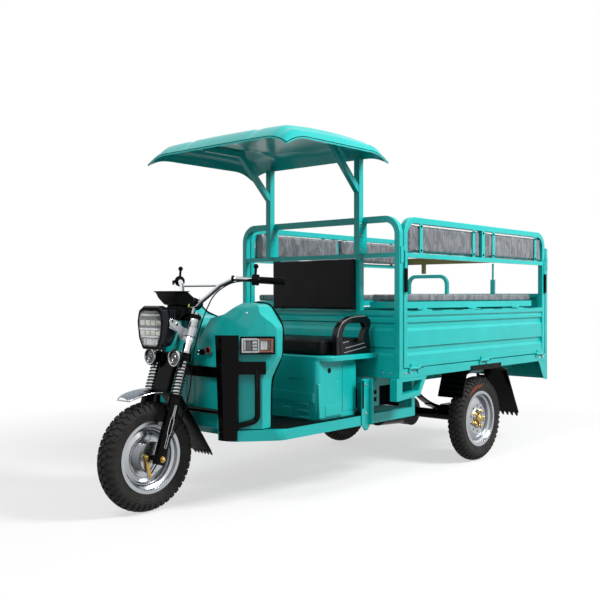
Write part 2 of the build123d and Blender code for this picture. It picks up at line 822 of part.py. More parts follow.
def guard():
    """The black crash guard: corner slabs, cross bars, side bars and tube loops."""
    with BuildPart() as steel:
        for side in (1, -1):
            loft(guard_slab(side))
            near_x, near_y = beside_cowl(48, 15)
            loop_x, loop_y = beside_cowl(150, 15)
            far_x, far_y = beside_cowl(188, 15)
            bar((side * near_x, near_y, 650), (side * far_x, far_y, 650), 24, 58)
            with BuildLine() as loop:
                FilletPolyline(
                    (side * loop_x, loop_y, 640),
                    (side * loop_x, loop_y, 408),
                    (side * near_x, near_y, 380),
                    radius=36,
                )
            with BuildSketch(Plane(origin=loop.line @ 0, z_dir=loop.line % 0)):
                Circle(GUARD_TUBE_R)
            sweep()
            floor_beam(side, RUNNING, mode=Mode.SUBTRACT)
        block((-220, 220), (back(243), back(256)), (603, 651))
        rod((-236, back(245.5), 445), (236, back(245.5), 445), 12)
    keep(steel.part, "guard")


# ---------------------------------------------------------------- seat box and seat
def seat_box():
    """The pressed battery box under the rider's seat, ribbed in front and with a hatch at each side."""
    low = FLOOR_TOP + FLOOR_T
    high = DECK_LOW
    y0 = back(738)
    y1 = back(1056)
    half = 392
    with BuildPart() as box:
        with BuildSketch(Plane.XY.offset(low)):
            with Locations((0, (y0 + y1) / 2)):
                RectangleRounded(2 * half, y1 - y0, 34)
        extrude(amount=high - low)
        block((-half + 60, half - 60), (y0, y0 + 6), (low + 88, low + 118), mode=Mode.SUBTRACT)
        for place in (-250, 0, 250):
            block((place - 55, place + 55), (y0, y0 + 5), (high - 96, high - 90), mode=Mode.SUBTRACT)
        for step in range(3):
            rise = low + 24 + 22 * step
            for side in (1, -1):
                block(
                    sorted((side * (half - 118 + 6 * step), side * (half - 56 + 6 * step))),
                    (y0, y0 + 4),
                    (rise, rise + 9),
                    mode=Mode.SUBTRACT,
                )
        for side in (1, -1):
            block(
                sorted((side * (half - 5), side * half)),
                (y0 + 136, y1 - 14),
                (low + 16, high - 16),
                mode=Mode.SUBTRACT,
            )
            block(sorted((side * (half - 5), side * half)), (y0 + 136, y0 + 148), (low + 16, low + 74))
            rod((side * (half - 9), back(827), 608), (side * half, back(827), 608), 9, mode=Mode.SUBTRACT)
    keep(box.part, "seat_box")
    with BuildPart() as deck:
        with BuildSketch(Plane.XY.offset(DECK_LOW)) as outline:
            with Locations((0, (back(DECK_FRONT) + BOX_Y0 - 1) / 2)):
                Rectangle(2 * DECK_HALF, BOX_Y0 - 1 - back(DECK_FRONT))
            fillet(outline.vertices().group_by(Axis.Y)[0], 88)
        extrude(amount=DECK_TOP - DECK_LOW)
        fillet(deck.faces().sort_by(Axis.Z)[-1].edges().sort_by(Axis.Y)[:-1], 6)
    keep(deck.part, "seat_deck")


def driver_seat():
    """A flat padded seat, and the pad on the box's front that backs the rider."""
    with BuildPart() as cushion:
        block((-SEAT_HALF, SEAT_HALF), (back(780), back(1140)), (DECK_TOP, DECK_TOP + SEAT_H))
        fillet(cushion.edges().filter_by(Axis.Z), 22)
        fillet(cushion.edges().group_by(Axis.Z)[-1], 12)
    keep(cushion.part, "driver_seat")
    with BuildPart() as pad:
        block((-300, 300), (BOX_Y0 - 30, BOX_Y0 + 1 - RUNNING), (RAIL_TOP + 3, MID_RAIL - 4))
        fillet(pad.edges().group_by(Axis.Y)[0], 8)
    keep(pad.part, "backrest_pad")


ARM_IN = SEAT_HALF + 2
ARM_OUT = 420


def armrests():
    """A moulded loop on each side of the seat, domed along its top and rounded outside."""
    with BuildPart() as loop:
        with BuildSketch(Plane.YZ.offset(ARM_IN)):
            with BuildLine():
                outer = Spline(
                    (back(857), DECK_TOP),
                    (back(853), 780),
                    (back(872), 836),
                    (back(930), 869),
                    (back(1020), 883),
                    (back(1100), 880),
                    (back(1136), 840),
                )
                Polyline(outer @ 1, (back(1137), DECK_TOP), outer @ 0)
            make_face()
            with BuildLine():
                Polyline(
                    (back(905), 757),
                    (back(915), 806),
                    (back(945), 834),
                    (back(1035), 843),
                    (back(1050), 812),
                    (back(1030), 764),
                    close=True,
                )
            make_face(mode=Mode.SUBTRACT)
        extrude(amount=ARM_OUT - ARM_IN)
        fillet(loop.faces().sort_by(Axis.X)[-1].edges(), 8)
    keep_both(loop.part, "armrests")


# ---------------------------------------------------------------- cargo bed and its front
def bed():
    """The bed: an edge rail round a sheet floor on cross members."""
    with BuildPart() as tray:
        block((-HALF_BOX, HALF_BOX), (BOX_Y0, BOX_Y1), (BED_LOW, BED_TOP))
        block((-POST_IN, POST_IN), (BOX_Y0 + 40, BOX_Y1 - 40), (BED_LOW, BED_TOP - 6), mode=Mode.SUBTRACT)
        for place in range(1, 5):
            y = BOX_Y0 + BOX_LENGTH * place / 5
            block((-POST_IN, POST_IN), (y - 20, y + 20), (BED_LOW, BED_TOP - 6))
        for groove in (-420, -255, -90, 90, 255, 420):
            block(
                (groove - 12, groove + 12),
                (BOX_Y0 + 60, BOX_Y1 - 60),
                (BED_TOP - 3, BED_TOP),
                mode=Mode.SUBTRACT,
            )
        for end in (BOX_Y0 + 72, BOX_Y1 - 72):
            block((-80, 80), (end - 12, end + 12), (BED_TOP - 3, BED_TOP), mode=Mode.SUBTRACT)
    keep(tray.part, "cargo_bed")


PANEL_GROOVES = ((874, 866, 860, 4), (842, 812, 796, 10), (713, 683, 667, 10))


def pressed_outline(face, low, high, inward):
    """Outer line of a pressed panel, bottom to top: flat bands with grooves pressed inwards."""
    points = [(face, low)]
    for top, foot, ramp, depth in reversed(PANEL_GROOVES):
        points.append((face, ramp))
        points.append((face + inward * depth, foot))
        points.append((face + inward * depth, top - 6))
        points.append((face, top))
    points.append((face, high))
    return points


def pressed_sheet(plane, length, face, low, high, inward):
    """A pressed panel of even thickness, as an extrusion of its section."""
    outline = pressed_outline(face, low, high, inward)
    inner = [(place + inward * SHEET, z) for place, z in reversed(outline)]
    with BuildSketch(plane) as section:
        with BuildLine():
            Polyline(*outline, *inner, close=True)
        make_face()
    extrude(section.sketch, amount=length)


def hoop(start, over, end, section_plane):
    """A square tube bent up, across and down in one piece."""
    with BuildLine() as path:
        FilletPolyline(start, over[0], over[1], end, radius=HOOP_CORNER - TUBE / 2)
    with BuildSketch(section_plane) as section:
        RectangleRounded(TUBE, TUBE, 4)
    sweep(section.sketch, path=path.line)


KEEPER = (1152, 1236)  # height of the latch keepers on the corner posts


def front_hoop():
    """The box's front: a full-width hoop with its rails, and the pressed panel below them."""
    x = HALF_BOX - TUBE / 2
    y = BOX_Y0 + TUBE / 2
    top = HOOP_TOP - TUBE / 2
    with BuildPart() as front:
        hoop((-x, y, BED_TOP), ((-x, y, top), (x, y, top)), (x, y, BED_TOP), Plane(origin=(-x, y, BED_TOP)))
        block((-POST_IN, POST_IN), (BOX_Y0 + 5, BOX_Y0 + 29), (MID_RAIL, MID_RAIL + SLAT))
        block((-POST_IN, POST_IN), (BOX_Y0 + 2, BOX_Y0 + 32), (RAIL_TOP - 24, RAIL_TOP))
        block((-POST_IN, POST_IN), (BOX_Y0 + 2, BOX_Y0 + 32), (BED_TOP, BED_TOP + 30))
        for side in (1, -1):
            lower = (RAIL_TOP, MID_RAIL, 307)
            upper = (MID_RAIL + SLAT, HOOP_TOP - TUBE, ROOF_POST_X)
            for low, high, centre in (lower, upper):
                block((side * centre - 16, side * centre + 16), (BOX_Y0 + 1, BOX_Y0 + 33), (low, high))
            block(sorted((side * HALF_BOX, side * (HALF_BOX + 5))), (BOX_Y0 + 7, BOX_Y0 + 31), KEEPER)
        pressed_sheet(
            Plane.YZ.offset(-POST_IN), 2 * POST_IN, BOX_Y0 + 6, BED_TOP + 20, RAIL_TOP - 20, 1
        )
    keep(front.part, "front_hoop")


def rear_posts():
    """The two rear corner posts, with the bar that joins them over the tailgate."""
    x = HALF_BOX - TUBE / 2
    with BuildPart() as posts:
        for side in (1, -1):
            block(
                sorted((side * POST_IN, side * HALF_BOX)),
                (BOX_Y1 - TUBE, BOX_Y1),
                (BED_TOP, 1296),
            )
            block(sorted((side * HALF_BOX, side * (HALF_BOX + 5))), (BOX_Y1 - 31, BOX_Y1 - 7), KEEPER)
    keep(posts.part, "rear_posts")
    with BuildPart() as across:
        block((-POST_IN, POST_IN), (BOX_Y1 - 30, BOX_Y1 - 4), (1212, 1260))
        block((-408, -382), (BOX_Y1 - 28, BOX_Y1 - 6), (1144, 1212))
    keep(across.part, "rear_crossbar")


def tail():
    """End plates under the bed's rear corners, and the lamp panel between them."""
    with BuildPart() as panel:
        for side in (1, -1):
            with BuildSketch(Plane.YZ.offset(side * HALF_BOX - (SHEET if side > 0 else 0))):
                with BuildLine():
                    Polyline(
                        (BOX_Y1, BED_LOW),
                        (BOX_Y1, 424),
                        (BOX_Y1 - 50, 430),
                        (BOX_Y1 - 125, BED_LOW),
                        close=True,
                    )
                make_face()
            extrude(amount=SHEET)
        block((-HALF_BOX, HALF_BOX), (BOX_Y1 - SHEET, BOX_Y1), (430, BED_LOW))
    keep(panel.part, "tail_panel")
    with BuildPart() as lamps:
        block((400, 560), (BOX_Y1, BOX_Y1 + LAMP_PROUD), (444, 510))
    keep_both(lamps.part, "tail_lamps")


# ---------------------------------------------------------------- rear axle, springs and guards
SPRING_X = 330
SPRING_W = 44


def rear_axle():
    """The driven axle: tubes, differential, motor and the drums inside the wheels."""
    inner = HALF_TRACK + HUB_IN - 4
    with BuildPart() as axle:
        rod((-inner, REAR_AXLE_Y, TYRE_R), (inner, REAR_AXLE_Y, TYRE_R), 30)
        rod((-62, REAR_AXLE_Y, TYRE_R), (62, REAR_AXLE_Y, TYRE_R), 88)
        rod((0, REAR_AXLE_Y - 60, TYRE_R), (0, REAR_AXLE_Y - 290, TYRE_R + 12), 76)
        for side in (1, -1):
            rod((side * (inner - 40), REAR_AXLE_Y, TYRE_R), (side * inner, REAR_AXLE_Y, TYRE_R), 100)
            rod(
                (side * (inner - 1), REAR_AXLE_Y, TYRE_R),
                (side * (HALF_TRACK + HUB_FACE - 1), REAR_AXLE_Y, TYRE_R),
                HUB_PIN_R,
            )
    keep(axle.part, "rear_axle")


def leaf_springs():
    """Leaf packs under the rails, hung from shackles and clamped to the axle tubes."""
    saddle = TYRE_R + 30
    with BuildPart() as pack:
        for leaf in range(4):
            reach = 400 - leaf * 85
            low = saddle + 8 * (3 - leaf)
            rise = (reach / 400) ** 2 * (RAIL_LOW - 34 - saddle - 24)
            with BuildSketch(Plane.YZ.offset(SPRING_X - SPRING_W / 2)):
                with BuildLine():
                    upper = ThreePointArc(
                        (REAR_AXLE_Y - reach, low + 8 + rise),
                        (REAR_AXLE_Y, low + 8),
                        (REAR_AXLE_Y + reach, low + 8 + rise),
                    )
                    lower = ThreePointArc(
                        (REAR_AXLE_Y - reach, low + rise),
                        (REAR_AXLE_Y, low),
                        (REAR_AXLE_Y + reach, low + rise),
                    )
                    Line(upper @ 0, lower @ 0)
                    Line(upper @ 1, lower @ 1)
                make_face()
            extrude(amount=SPRING_W)
        for end in (-398, 398):
            rod((SPRING_X - 26, REAR_AXLE_Y + end, 458), (SPRING_X + 26, REAR_AXLE_Y + end, 458), 12)
            for flank in (-30, 24):
                block(
                    (SPRING_X + flank, SPRING_X + flank + 6),
                    (REAR_AXLE_Y + end - 14, REAR_AXLE_Y + end + 14),
                    (444, RAIL_LOW - 7),
                )
            block(
                (SPRING_X - 30, SPRING_X + 30),
                (REAR_AXLE_Y + end - 18, REAR_AXLE_Y + end + 18),
                (RAIL_LOW - 8, RAIL_LOW - RUNNING),
            )
        block(
            (SPRING_X - 30, SPRING_X + 30),
            (REAR_AXLE_Y - 50, REAR_AXLE_Y + 50),
            (saddle + 32, saddle + 40),
        )
    keep_both(pack.part, "leaf_springs")


def rear_fenders():
    """Folded guards over the rear wheels: a flat crown with slanting skirts."""
    crown = BED_LOW - RUNNING
    outer = [(-262, 398), (-214, crown - 22), (-166, crown), (196, crown), (262, crown - 22), (420, 246)]
    under = crown - 6
    inner = [(413, 242), (255, under - 22), (193, under), (-163, under), (-208, under - 21), (-254, 396)]
    with BuildPart() as guard_sheet:
        with BuildSketch(Plane.YZ.offset(420)):
            with BuildLine():
                Polyline(*[(REAR_AXLE_Y + y, z) for y, z in outer + inner], close=True)
            make_face()
        extrude(amount=HALF_BOX + 4 - 420)
        block(
            (HALF_BOX + RUNNING, HALF_BOX + 4),
            (REAR_AXLE_Y - 163, REAR_AXLE_Y + 193),
            (crown - 6, BED_LOW + 24),
        )
    keep_both(guard_sheet.part, "rear_fenders")


def side_steps():
    """Pressed steps below the bed's front corners, with a window cut in each."""
    with BuildPart() as step:
        with BuildSketch(Plane.YZ.offset(HALF_BOX - 44)):
            with BuildLine():
                Polyline(
                    (back(1140), BED_LOW),
                    (back(1140), 436),
                    (back(1352), 452),
                    (back(1416), BED_LOW),
                    close=True,
                )
            make_face()
            with BuildLine():
                Polyline(
                    (back(1190), 534),
                    (back(1190), 470),
                    (back(1336), 478),
                    (back(1370), 534),
                    close=True,
                )
            make_face(mode=Mode.SUBTRACT)
        extrude(amount=44)
    keep_both(step.part, "side_steps")


# ---------------------------------------------------------------- drop sides, benches, tailgate
HINGE_X = HALF_BOX + HINGE_R
HINGE_Z = BED_TOP + 1
BACK_LOW = MID_RAIL + SLAT + 2
STRAPS = (1362, 1904, 2134, 2680)
BENCH_LOW = RAIL_TOP + 11
BENCH_Y0 = back(1246)
BENCH_Y1 = back(2705)
BENCH_IN = 325
BENCH_H = 35
FOLD_X = HALF_BOX - TUBE - 6
FOLD_Z = RAIL_TOP + 5
KNUCKLE_R = 4.5
BENCH_HINGES = (1430, 1950, 2480)
LATCH_Y0 = GATE_Y0 + 10
LATCH_Y1 = GATE_Y1 - 10
GRIP_LOW = 1000
GRIP_TOP = 1124


def side_gates():
    """A drop side in one piece: pressed panel, hoop, middle rail and cushion straps."""
    x = HALF_BOX - TUBE / 2
    y0 = GATE_Y0 + TUBE / 2
    y1 = GATE_Y1 - TUBE / 2
    top = HOOP_TOP - 4 - TUBE / 2
    with BuildPart() as gate:
        foot = (x, y0, GATE_LOW)
        hoop(foot, ((x, y0, top), (x, y1, top)), (x, y1, GATE_LOW), Plane(origin=foot))
        block((POST_IN + 4, HALF_BOX), (y0, y1), (MID_RAIL, MID_RAIL + SLAT))
        block((POST_IN, HALF_BOX), (y0, y1), (RAIL_TOP - 26, RAIL_TOP))
        block((POST_IN, HALF_BOX), (y0, y1), (GATE_LOW, GATE_LOW + 24))
        block((POST_IN + 4, HALF_BOX), (back(1995), back(2030)), (MID_RAIL + SLAT, HOOP_TOP - TUBE))
        for place in STRAPS:
            y = back(place)
            block((HALF_BOX - 4, HALF_BOX), (y - 14, y + 14), (MID_RAIL + SLAT, HOOP_TOP - TUBE - 2))
        pressed_sheet(
            Plane(origin=(0, y0, 0), x_dir=(-1, 0, 0), z_dir=(0, 1, 0)),
            y1 - y0,
            -(HALF_BOX - 5),
            GATE_LOW + 12,
            RAIL_TOP - 12,
            1,
        )
        for y in (LATCH_Y0, LATCH_Y1):
            block((HALF_BOX, HALF_BOX + 6), (y - 7, y + 7), (GRIP_TOP, 1218))
        for place in (1290, 2010, 2730):
            rod((HINGE_X, back(place) - 30, HINGE_Z), (HINGE_X, back(place) + 30, HINGE_Z), HINGE_R)
            block((HALF_BOX, HINGE_X), (back(place) - 30, back(place) + 30), (HINGE_Z, GATE_LOW + 20))
        for place in BENCH_HINGES:
            y = back(place)
            rod((FOLD_X, y - 15, FOLD_Z), (FOLD_X, y + 15, FOLD_Z), KNUCKLE_R)
            block((FOLD_X, HALF_BOX - 12), (y - 15, y + 15), (RAIL_TOP, RAIL_TOP + KNUCKLE_R))
            block((POST_IN + 4, HALF_BOX - 6), (y - 45, y + 45), (RAIL_TOP, RAIL_TOP + KNUCKLE_R))
    keep_pair(gate.part, "gate")


def latch_grips():
    """Rubber grips on the gates' latch straps, one near each corner post."""
    with BuildPart() as grips:
        for y in (LATCH_Y0, LATCH_Y1):
            with BuildSketch(Plane.XY.offset(GRIP_LOW)):
                with Locations((HALF_BOX + RUNNING + 6.5, y)):
                    RectangleRounded(13, 20, 4)
            extrude(amount=GRIP_TOP - RUNNING - GRIP_LOW)
    keep_pair(grips.part, "latch_grips")


def hinge_leaves():
    """The bed's halves of the gate hinges, between the gates' knuckles."""
    with BuildPart() as leaves:
        for place in (1290, 2010, 2730):
            for end in (-48, 31):
                y = back(place) + end
                rod((HINGE_X, y, HINGE_Z), (HINGE_X, y + 17, HINGE_Z), HINGE_R)
                block((HALF_BOX, HINGE_X), (y, y + 17), (BED_TOP - 20, HINGE_Z))
    keep_both(leaves.part, "gate_hinges")


def backrests():
    """Two long cushions in each gate's hoop, behind the straps."""
    with BuildPart() as pads:
        for low, high in ((GATE_Y0 + TUBE + 4, back(1991)), (back(2034), GATE_Y1 - TUBE - 4)):
            block((HALF_BOX - 74, HALF_BOX - 4 - RUNNING), (low, high), (BACK_LOW, HOOP_TOP - TUBE - 8))
        corners = pads.edges().filter_by(Axis.X).group_by(Axis.Z)[-1].sort_by(Axis.Y)
        fillet([corners[0], corners[-1]], HOOP_CORNER - TUBE + 4)
    keep_pair(pads.part, "backrests")


def benches():
    """Folding bench boards hinged on the gates' top rails, their pads, and their leg frames."""
    with BuildPart() as board:
        block((BENCH_IN, FOLD_X - 1), (BENCH_Y0, BENCH_Y1), (BENCH_LOW, BENCH_LOW + BENCH_H))
        for place in BENCH_HINGES:
            for end in (-43.5, 15.5):
                y = back(place) + end
                rod((FOLD_X, y, FOLD_Z), (FOLD_X, y + 28, FOLD_Z), KNUCKLE_R)
                block((FOLD_X - 24, FOLD_X), (y, y + 28), (FOLD_Z, BENCH_LOW))
        for place in (LEG_Y0 + 60, LEG_Y1 - 60):
            block((LEG_X - 9, LEG_X + 9), (place - 8, place + 8), (LEG_Z - 9, BENCH_LOW))
            bore = LEG_PIN_R + RUNNING
            rod((LEG_X, place - 9, LEG_Z), (LEG_X, place + 9, LEG_Z), bore, mode=Mode.SUBTRACT)
    keep_pair(board.part, "bench")
    with BuildPart() as pad:
        block(
            (BENCH_IN + 4, FOLD_X - 3),
            (BENCH_Y0 + 4, BENCH_Y1 - 4),
            (BENCH_LOW + BENCH_H, BENCH_LOW + BENCH_H + 40),
        )
        fillet(pad.edges().group_by(Axis.Z)[-1], 12)
    keep_pair(pad.part, "bench_pad")
    with BuildPart() as legs:
        for place in (LEG_Y0, (LEG_Y0 + LEG_Y1) / 2, LEG_Y1):
            block((LEG_X - 10, LEG_X + 10), (place - 10, place + 10), (BED_TOP + 6, LEG_Z))
        rod((LEG_X, LEG_Y0 - 10, LEG_Z), (LEG_X, LEG_Y1 + 10, LEG_Z), LEG_PIN_R)
    keep_pair(legs.part, "bench_legs")


LEG_X = BENCH_IN + 24
LEG_Z = BENCH_LOW - 14
LEG_PIN_R = 6
LEG_Y0 = BENCH_Y0 + 60
LEG_Y1 = BENCH_Y1 - 60

TAIL_HINGE_Y = BOX_Y1 + HINGE_R
GRAB_TOP = 1136


def tailgate():
    """The drop tailgate: pressed panel in a tube frame, with a grab hoop over its right half."""
    half = POST_IN - GATE_GAP
    y0 = BOX_Y1 - 32
    high = 996
    with BuildPart() as gate:
        block((-half, half), (y0, BOX_Y1), (high - 26, high))
        block((-half, half), (y0, BOX_Y1), (GATE_LOW, GATE_LOW + 26))
        for side in (1, -1):
            block(sorted((side * half, side * (half - 26))), (y0, BOX_Y1), (GATE_LOW, high))
        pressed_sheet(Plane.YZ.offset(10 - half), 2 * half - 20, BOX_Y1 - 5, GATE_LOW + 10, high - 10, -1)
        with BuildLine():
            FilletPolyline(
                (-half + 13, BOX_Y1 - 15, high),
                (-half + 13, BOX_Y1 - 15, GRAB_TOP - 13),
                (-195, BOX_Y1 - 15, GRAB_TOP - 13),
                (-195, BOX_Y1 - 15, high),
                radius=60,
            )
        with BuildSketch(Plane(origin=(-half + 13, BOX_Y1 - 15, high))):
            RectangleRounded(26, 26, 4)
        sweep()
        for place in (-420, 0, 420):
            rod((place - 30, TAIL_HINGE_Y, HINGE_Z), (place + 30, TAIL_HINGE_Y, HINGE_Z), HINGE_R)
            block((place - 30, place + 30), (BOX_Y1, TAIL_HINGE_Y), (HINGE_Z, GATE_LOW + 20))
        block((166, 194), (BOX_Y1 - 26, BOX_Y1 - 6), (high, 1094))
        rod((180, BOX_Y1 - 16, 1090), (180, BOX_Y1 - 16, 1205), 7)
    keep(gate.part, "tailgate")
    with BuildPart() as leaves:
        for place in (-420, 0, 420):
            for end in (-48, 31):
                rod((place + end, TAIL_HINGE_Y, HINGE_Z), (place + end + 17, TAIL_HINGE_Y, HINGE_Z), HINGE_R)
                block((place + end, place + end + 17), (BOX_Y1, TAIL_HINGE_Y), (BED_TOP - 30, HINGE_Z))
    keep(leaves.part, "tailgate_hinges")


# ---------------------------------------------------------------- roof
ROOF_LENGTH = ROOF_BACK - ROOF_FRONT
ROOF_LIP = 42  # the skin's edge rises by this away from the corners
ROOF_RIM = 105  # the skin reaches its full height this far in from the edge
ROOF_GROOVES = ((240, 24, 10), (440, 18, 12))  # across, half width, depth
ROOF_GRID = 48  # the skin's surface runs through this many steps across and along
BEARER_FRONT = 640  # the roof's bearers, behind the front axle
BEARER_BACK = 930


def ease(share):
    """Rise from 0 to 1, steep at first and level at the end."""
    rest = 1 - min(max(share, 0), 1)
    return 1 - rest * rest


def roof_height(x, along):
    """Height of the skin's outside at x, this far behind its front edge."""
    side = ROOF_HALF - abs(x)
    end = min(along, ROOF_LENGTH - along)
    lip = ROOF_EDGE + ROOF_LIP * ease((side + end) / 140)
    top = ROOF_TOP - 10 * (x / ROOF_HALF) ** 2 - 24 * (2 * along / ROOF_LENGTH - 1) ** 2
    for place, width, depth in ROOF_GROOVES:
        top -= depth / (1 + ((abs(x) - place) / width) ** 2) ** 2
    return lip + (top - lip) * ease(side / ROOF_RIM) * ease(end / ROOF_RIM)


def roof():
    """The moulded roof: a domed skin with four pressed grooves and drooping corners."""
    rows = []
    for i in range(ROOF_GRID + 1):
        x = ROOF_HALF * (2 * i / ROOF_GRID - 1)
        alongs = [ROOF_LENGTH * j / ROOF_GRID for j in range(ROOF_GRID + 1)]
        rows.append([Vector(x, back(ROOF_FRONT) + along, roof_height(x, along)) for along in alongs])
    outside = Face.make_surface_from_array_of_points(rows, tol=0.4, min_deg=3, max_deg=3)
    with BuildPart() as skin:
        extrude(outside, amount=ROOF_SKIN, dir=(0, 0, -1))
    keep(skin.part, "roof")


def roof_posts():
    """Two posts on the front hoop, each with a brace reaching forward to a bearer under the roof."""
    x = ROOF_POST_X
    half = ROOF_POST / 2
    lowest = min(roof_height(x + 14, place - ROOF_FRONT) for place in (BEARER_FRONT, BEARER_BACK))
    bearer_top = lowest - ROOF_SKIN - RUNNING
    with BuildPart() as post:
        block((x - half, x + half), (BOX_Y0 - ROOF_POST - RUNNING, BOX_Y0 - RUNNING), (MID_RAIL + 23, 1712))
        bar((x, BOX_Y0 - 30, 1540), (x, BOX_Y0 - 256, 1768), 30, 30)
        block((x - 14, x + 14), (back(BEARER_FRONT), back(BEARER_BACK)), (bearer_top - 28, bearer_top))
    keep_both(post.part, "roof_posts")


# ---------------------------------------------------------------- build every piece
front_wheel()
rear_wheels()
fork()
fork_springs()
brake_plate()
handlebar()
bar_controls()
brake_cable()
headlight()
lamp_ears()
fog_lamps()
dash()
front_fender()
mud_flap()
frame()
floor_frame()
rails()
hanging_brackets()
floor_board()
cowl()
turn_signals()
guard()
seat_box()
driver_seat()
armrests()
bed()
front_hoop()
rear_posts()
tail()
rear_axle()
leaf_springs()
rear_fenders()
side_steps()
side_gates()
latch_grips()
hinge_leaves()
backrests()
benches()
tailgate()
roof_posts()
roof()
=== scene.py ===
"""Looks for the electric cargo tricycle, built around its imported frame.

Everything ends up in metres in the frame's own axes: +X is the vehicle's left, -Y is forward and
+Z is up. Places are written in millimetres, with the distance behind the front axle, through at().
"""

import json
import math
import random

import bmesh
import bpy
import numpy as np
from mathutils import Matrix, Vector


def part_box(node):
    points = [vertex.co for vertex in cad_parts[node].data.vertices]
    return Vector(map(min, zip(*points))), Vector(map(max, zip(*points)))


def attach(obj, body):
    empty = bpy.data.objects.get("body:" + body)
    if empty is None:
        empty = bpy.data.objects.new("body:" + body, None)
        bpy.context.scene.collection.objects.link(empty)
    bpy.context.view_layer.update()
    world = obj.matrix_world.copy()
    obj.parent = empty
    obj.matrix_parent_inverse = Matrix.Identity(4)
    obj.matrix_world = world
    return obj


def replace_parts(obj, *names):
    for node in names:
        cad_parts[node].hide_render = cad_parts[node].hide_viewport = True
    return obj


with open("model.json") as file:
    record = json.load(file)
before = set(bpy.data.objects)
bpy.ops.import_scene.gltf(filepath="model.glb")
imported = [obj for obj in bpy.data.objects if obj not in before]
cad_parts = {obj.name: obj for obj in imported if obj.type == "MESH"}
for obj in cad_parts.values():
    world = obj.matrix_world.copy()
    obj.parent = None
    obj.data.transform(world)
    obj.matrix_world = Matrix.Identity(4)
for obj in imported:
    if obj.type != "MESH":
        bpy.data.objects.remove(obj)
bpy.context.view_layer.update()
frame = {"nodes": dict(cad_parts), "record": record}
NODES = frame["nodes"]
MM = 0.001
FRONT_AXLE_Y = sum(corner[1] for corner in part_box("front_rim")) / 2


def at(x, along, z):
    """A place in metres, from millimetres sideways, behind the front axle, and up."""
    return Vector((x * MM, FRONT_AXLE_Y + along * MM, z * MM))


def front_on(x, z, along):
    """The same place, in the order of an outline that is drawn from the front."""
    return at(x, along, z)


def side_on(side):
    """The place function of one side: along the vehicle, up, and out from its middle."""

    def place(along, z, out):
        return at(side * out, along, z)

    return place


def middle_of(node):
    """The middle of a CAD node's box."""
    low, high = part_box(node)
    return (Vector(low) + Vector(high)) / 2


def add_object(name, data):
    thing = bpy.data.objects.new(name, data)
    bpy.context.scene.collection.objects.link(thing)
    return thing


SIDES = ((1, "left"), (-1, "right"))


# ---------------------------------------------------------------- camera, floor and light
CAMERA_PLACE = at(3088, -2349, 981)
CAMERA_TURN = math.radians(40.866)
CAMERA_TILT = math.radians(-0.533)
LIGHTS_AIM = Vector((0, 0, 0.8))


def add_camera():
    data = bpy.data.cameras.new("camera")
    data.sensor_width = 36
    data.lens = 50.11
    data.shift_x = -0.0357
    data.shift_y = 0.0060
    data.clip_start = 0.05
    data.clip_end = 60
    camera = add_object("camera", data)
    camera.location = CAMERA_PLACE
    camera.rotation_euler = (math.pi / 2 + CAMERA_TILT, 0, CAMERA_TURN)
    bpy.context.scene.camera = camera


def add_light(name, place, size, power):
    """A round soft light that points at the vehicle's middle."""
    data = bpy.data.lights.new(name, "AREA")
    data.shape = "DISK"
    data.size = size
    data.energy = power
    light = add_object(name, data)
    light.location = place
    light.rotation_euler = (LIGHTS_AIM - Vector(place)).to_track_quat("-Z", "Y").to_euler()


def add_node(tree, kind, sources=None, **settings):
    """A shader node: settings are its own or its inputs' values, and sources feed its inputs."""
    node = tree.nodes.new(f"ShaderNode{kind}")
    for name, value in settings.items():
        if hasattr(node, name):
            setattr(node, name, value)
        else:
            node.inputs[name.replace("_", " ")].default_value = value
    for socket, source in (sources or {}).items():
        tree.links.new(source, node.inputs[socket])
    return node


def seen_rays(tree):
    """1 for rays that show the background: to the camera, off gloss and through glass."""
    path = add_node(tree, "LightPath").outputs
    rays = {0: path["Is Camera Ray"], 1: path["Is Glossy Ray"]}
    either = add_node(tree, "Math", rays, operation="MAXIMUM")
    rays = {0: either.outputs[0], 1: path["Is Transmission Ray"]}
    return add_node(tree, "Math", rays, operation="MAXIMUM").outputs[0]


def add_world():
    world = bpy.data.worlds.new("studio")
    world.use_nodes = True
    tree = world.node_tree
    light = tree.nodes["Background"]
    light.inputs["Color"].default_value = (1, 1, 1, 1)
    light.inputs["Strength"].default_value = 0.4
    white = add_node(tree, "Background", Color=(1, 1, 1, 1))
    both = {0: seen_rays(tree), 1: light.outputs[0], 2: white.outputs[0]}
    mix = add_node(tree, "MixShader", both)
    tree.links.new(mix.outputs[0], tree.nodes["World Output"].inputs["Surface"])
    bpy.context.scene.world = world


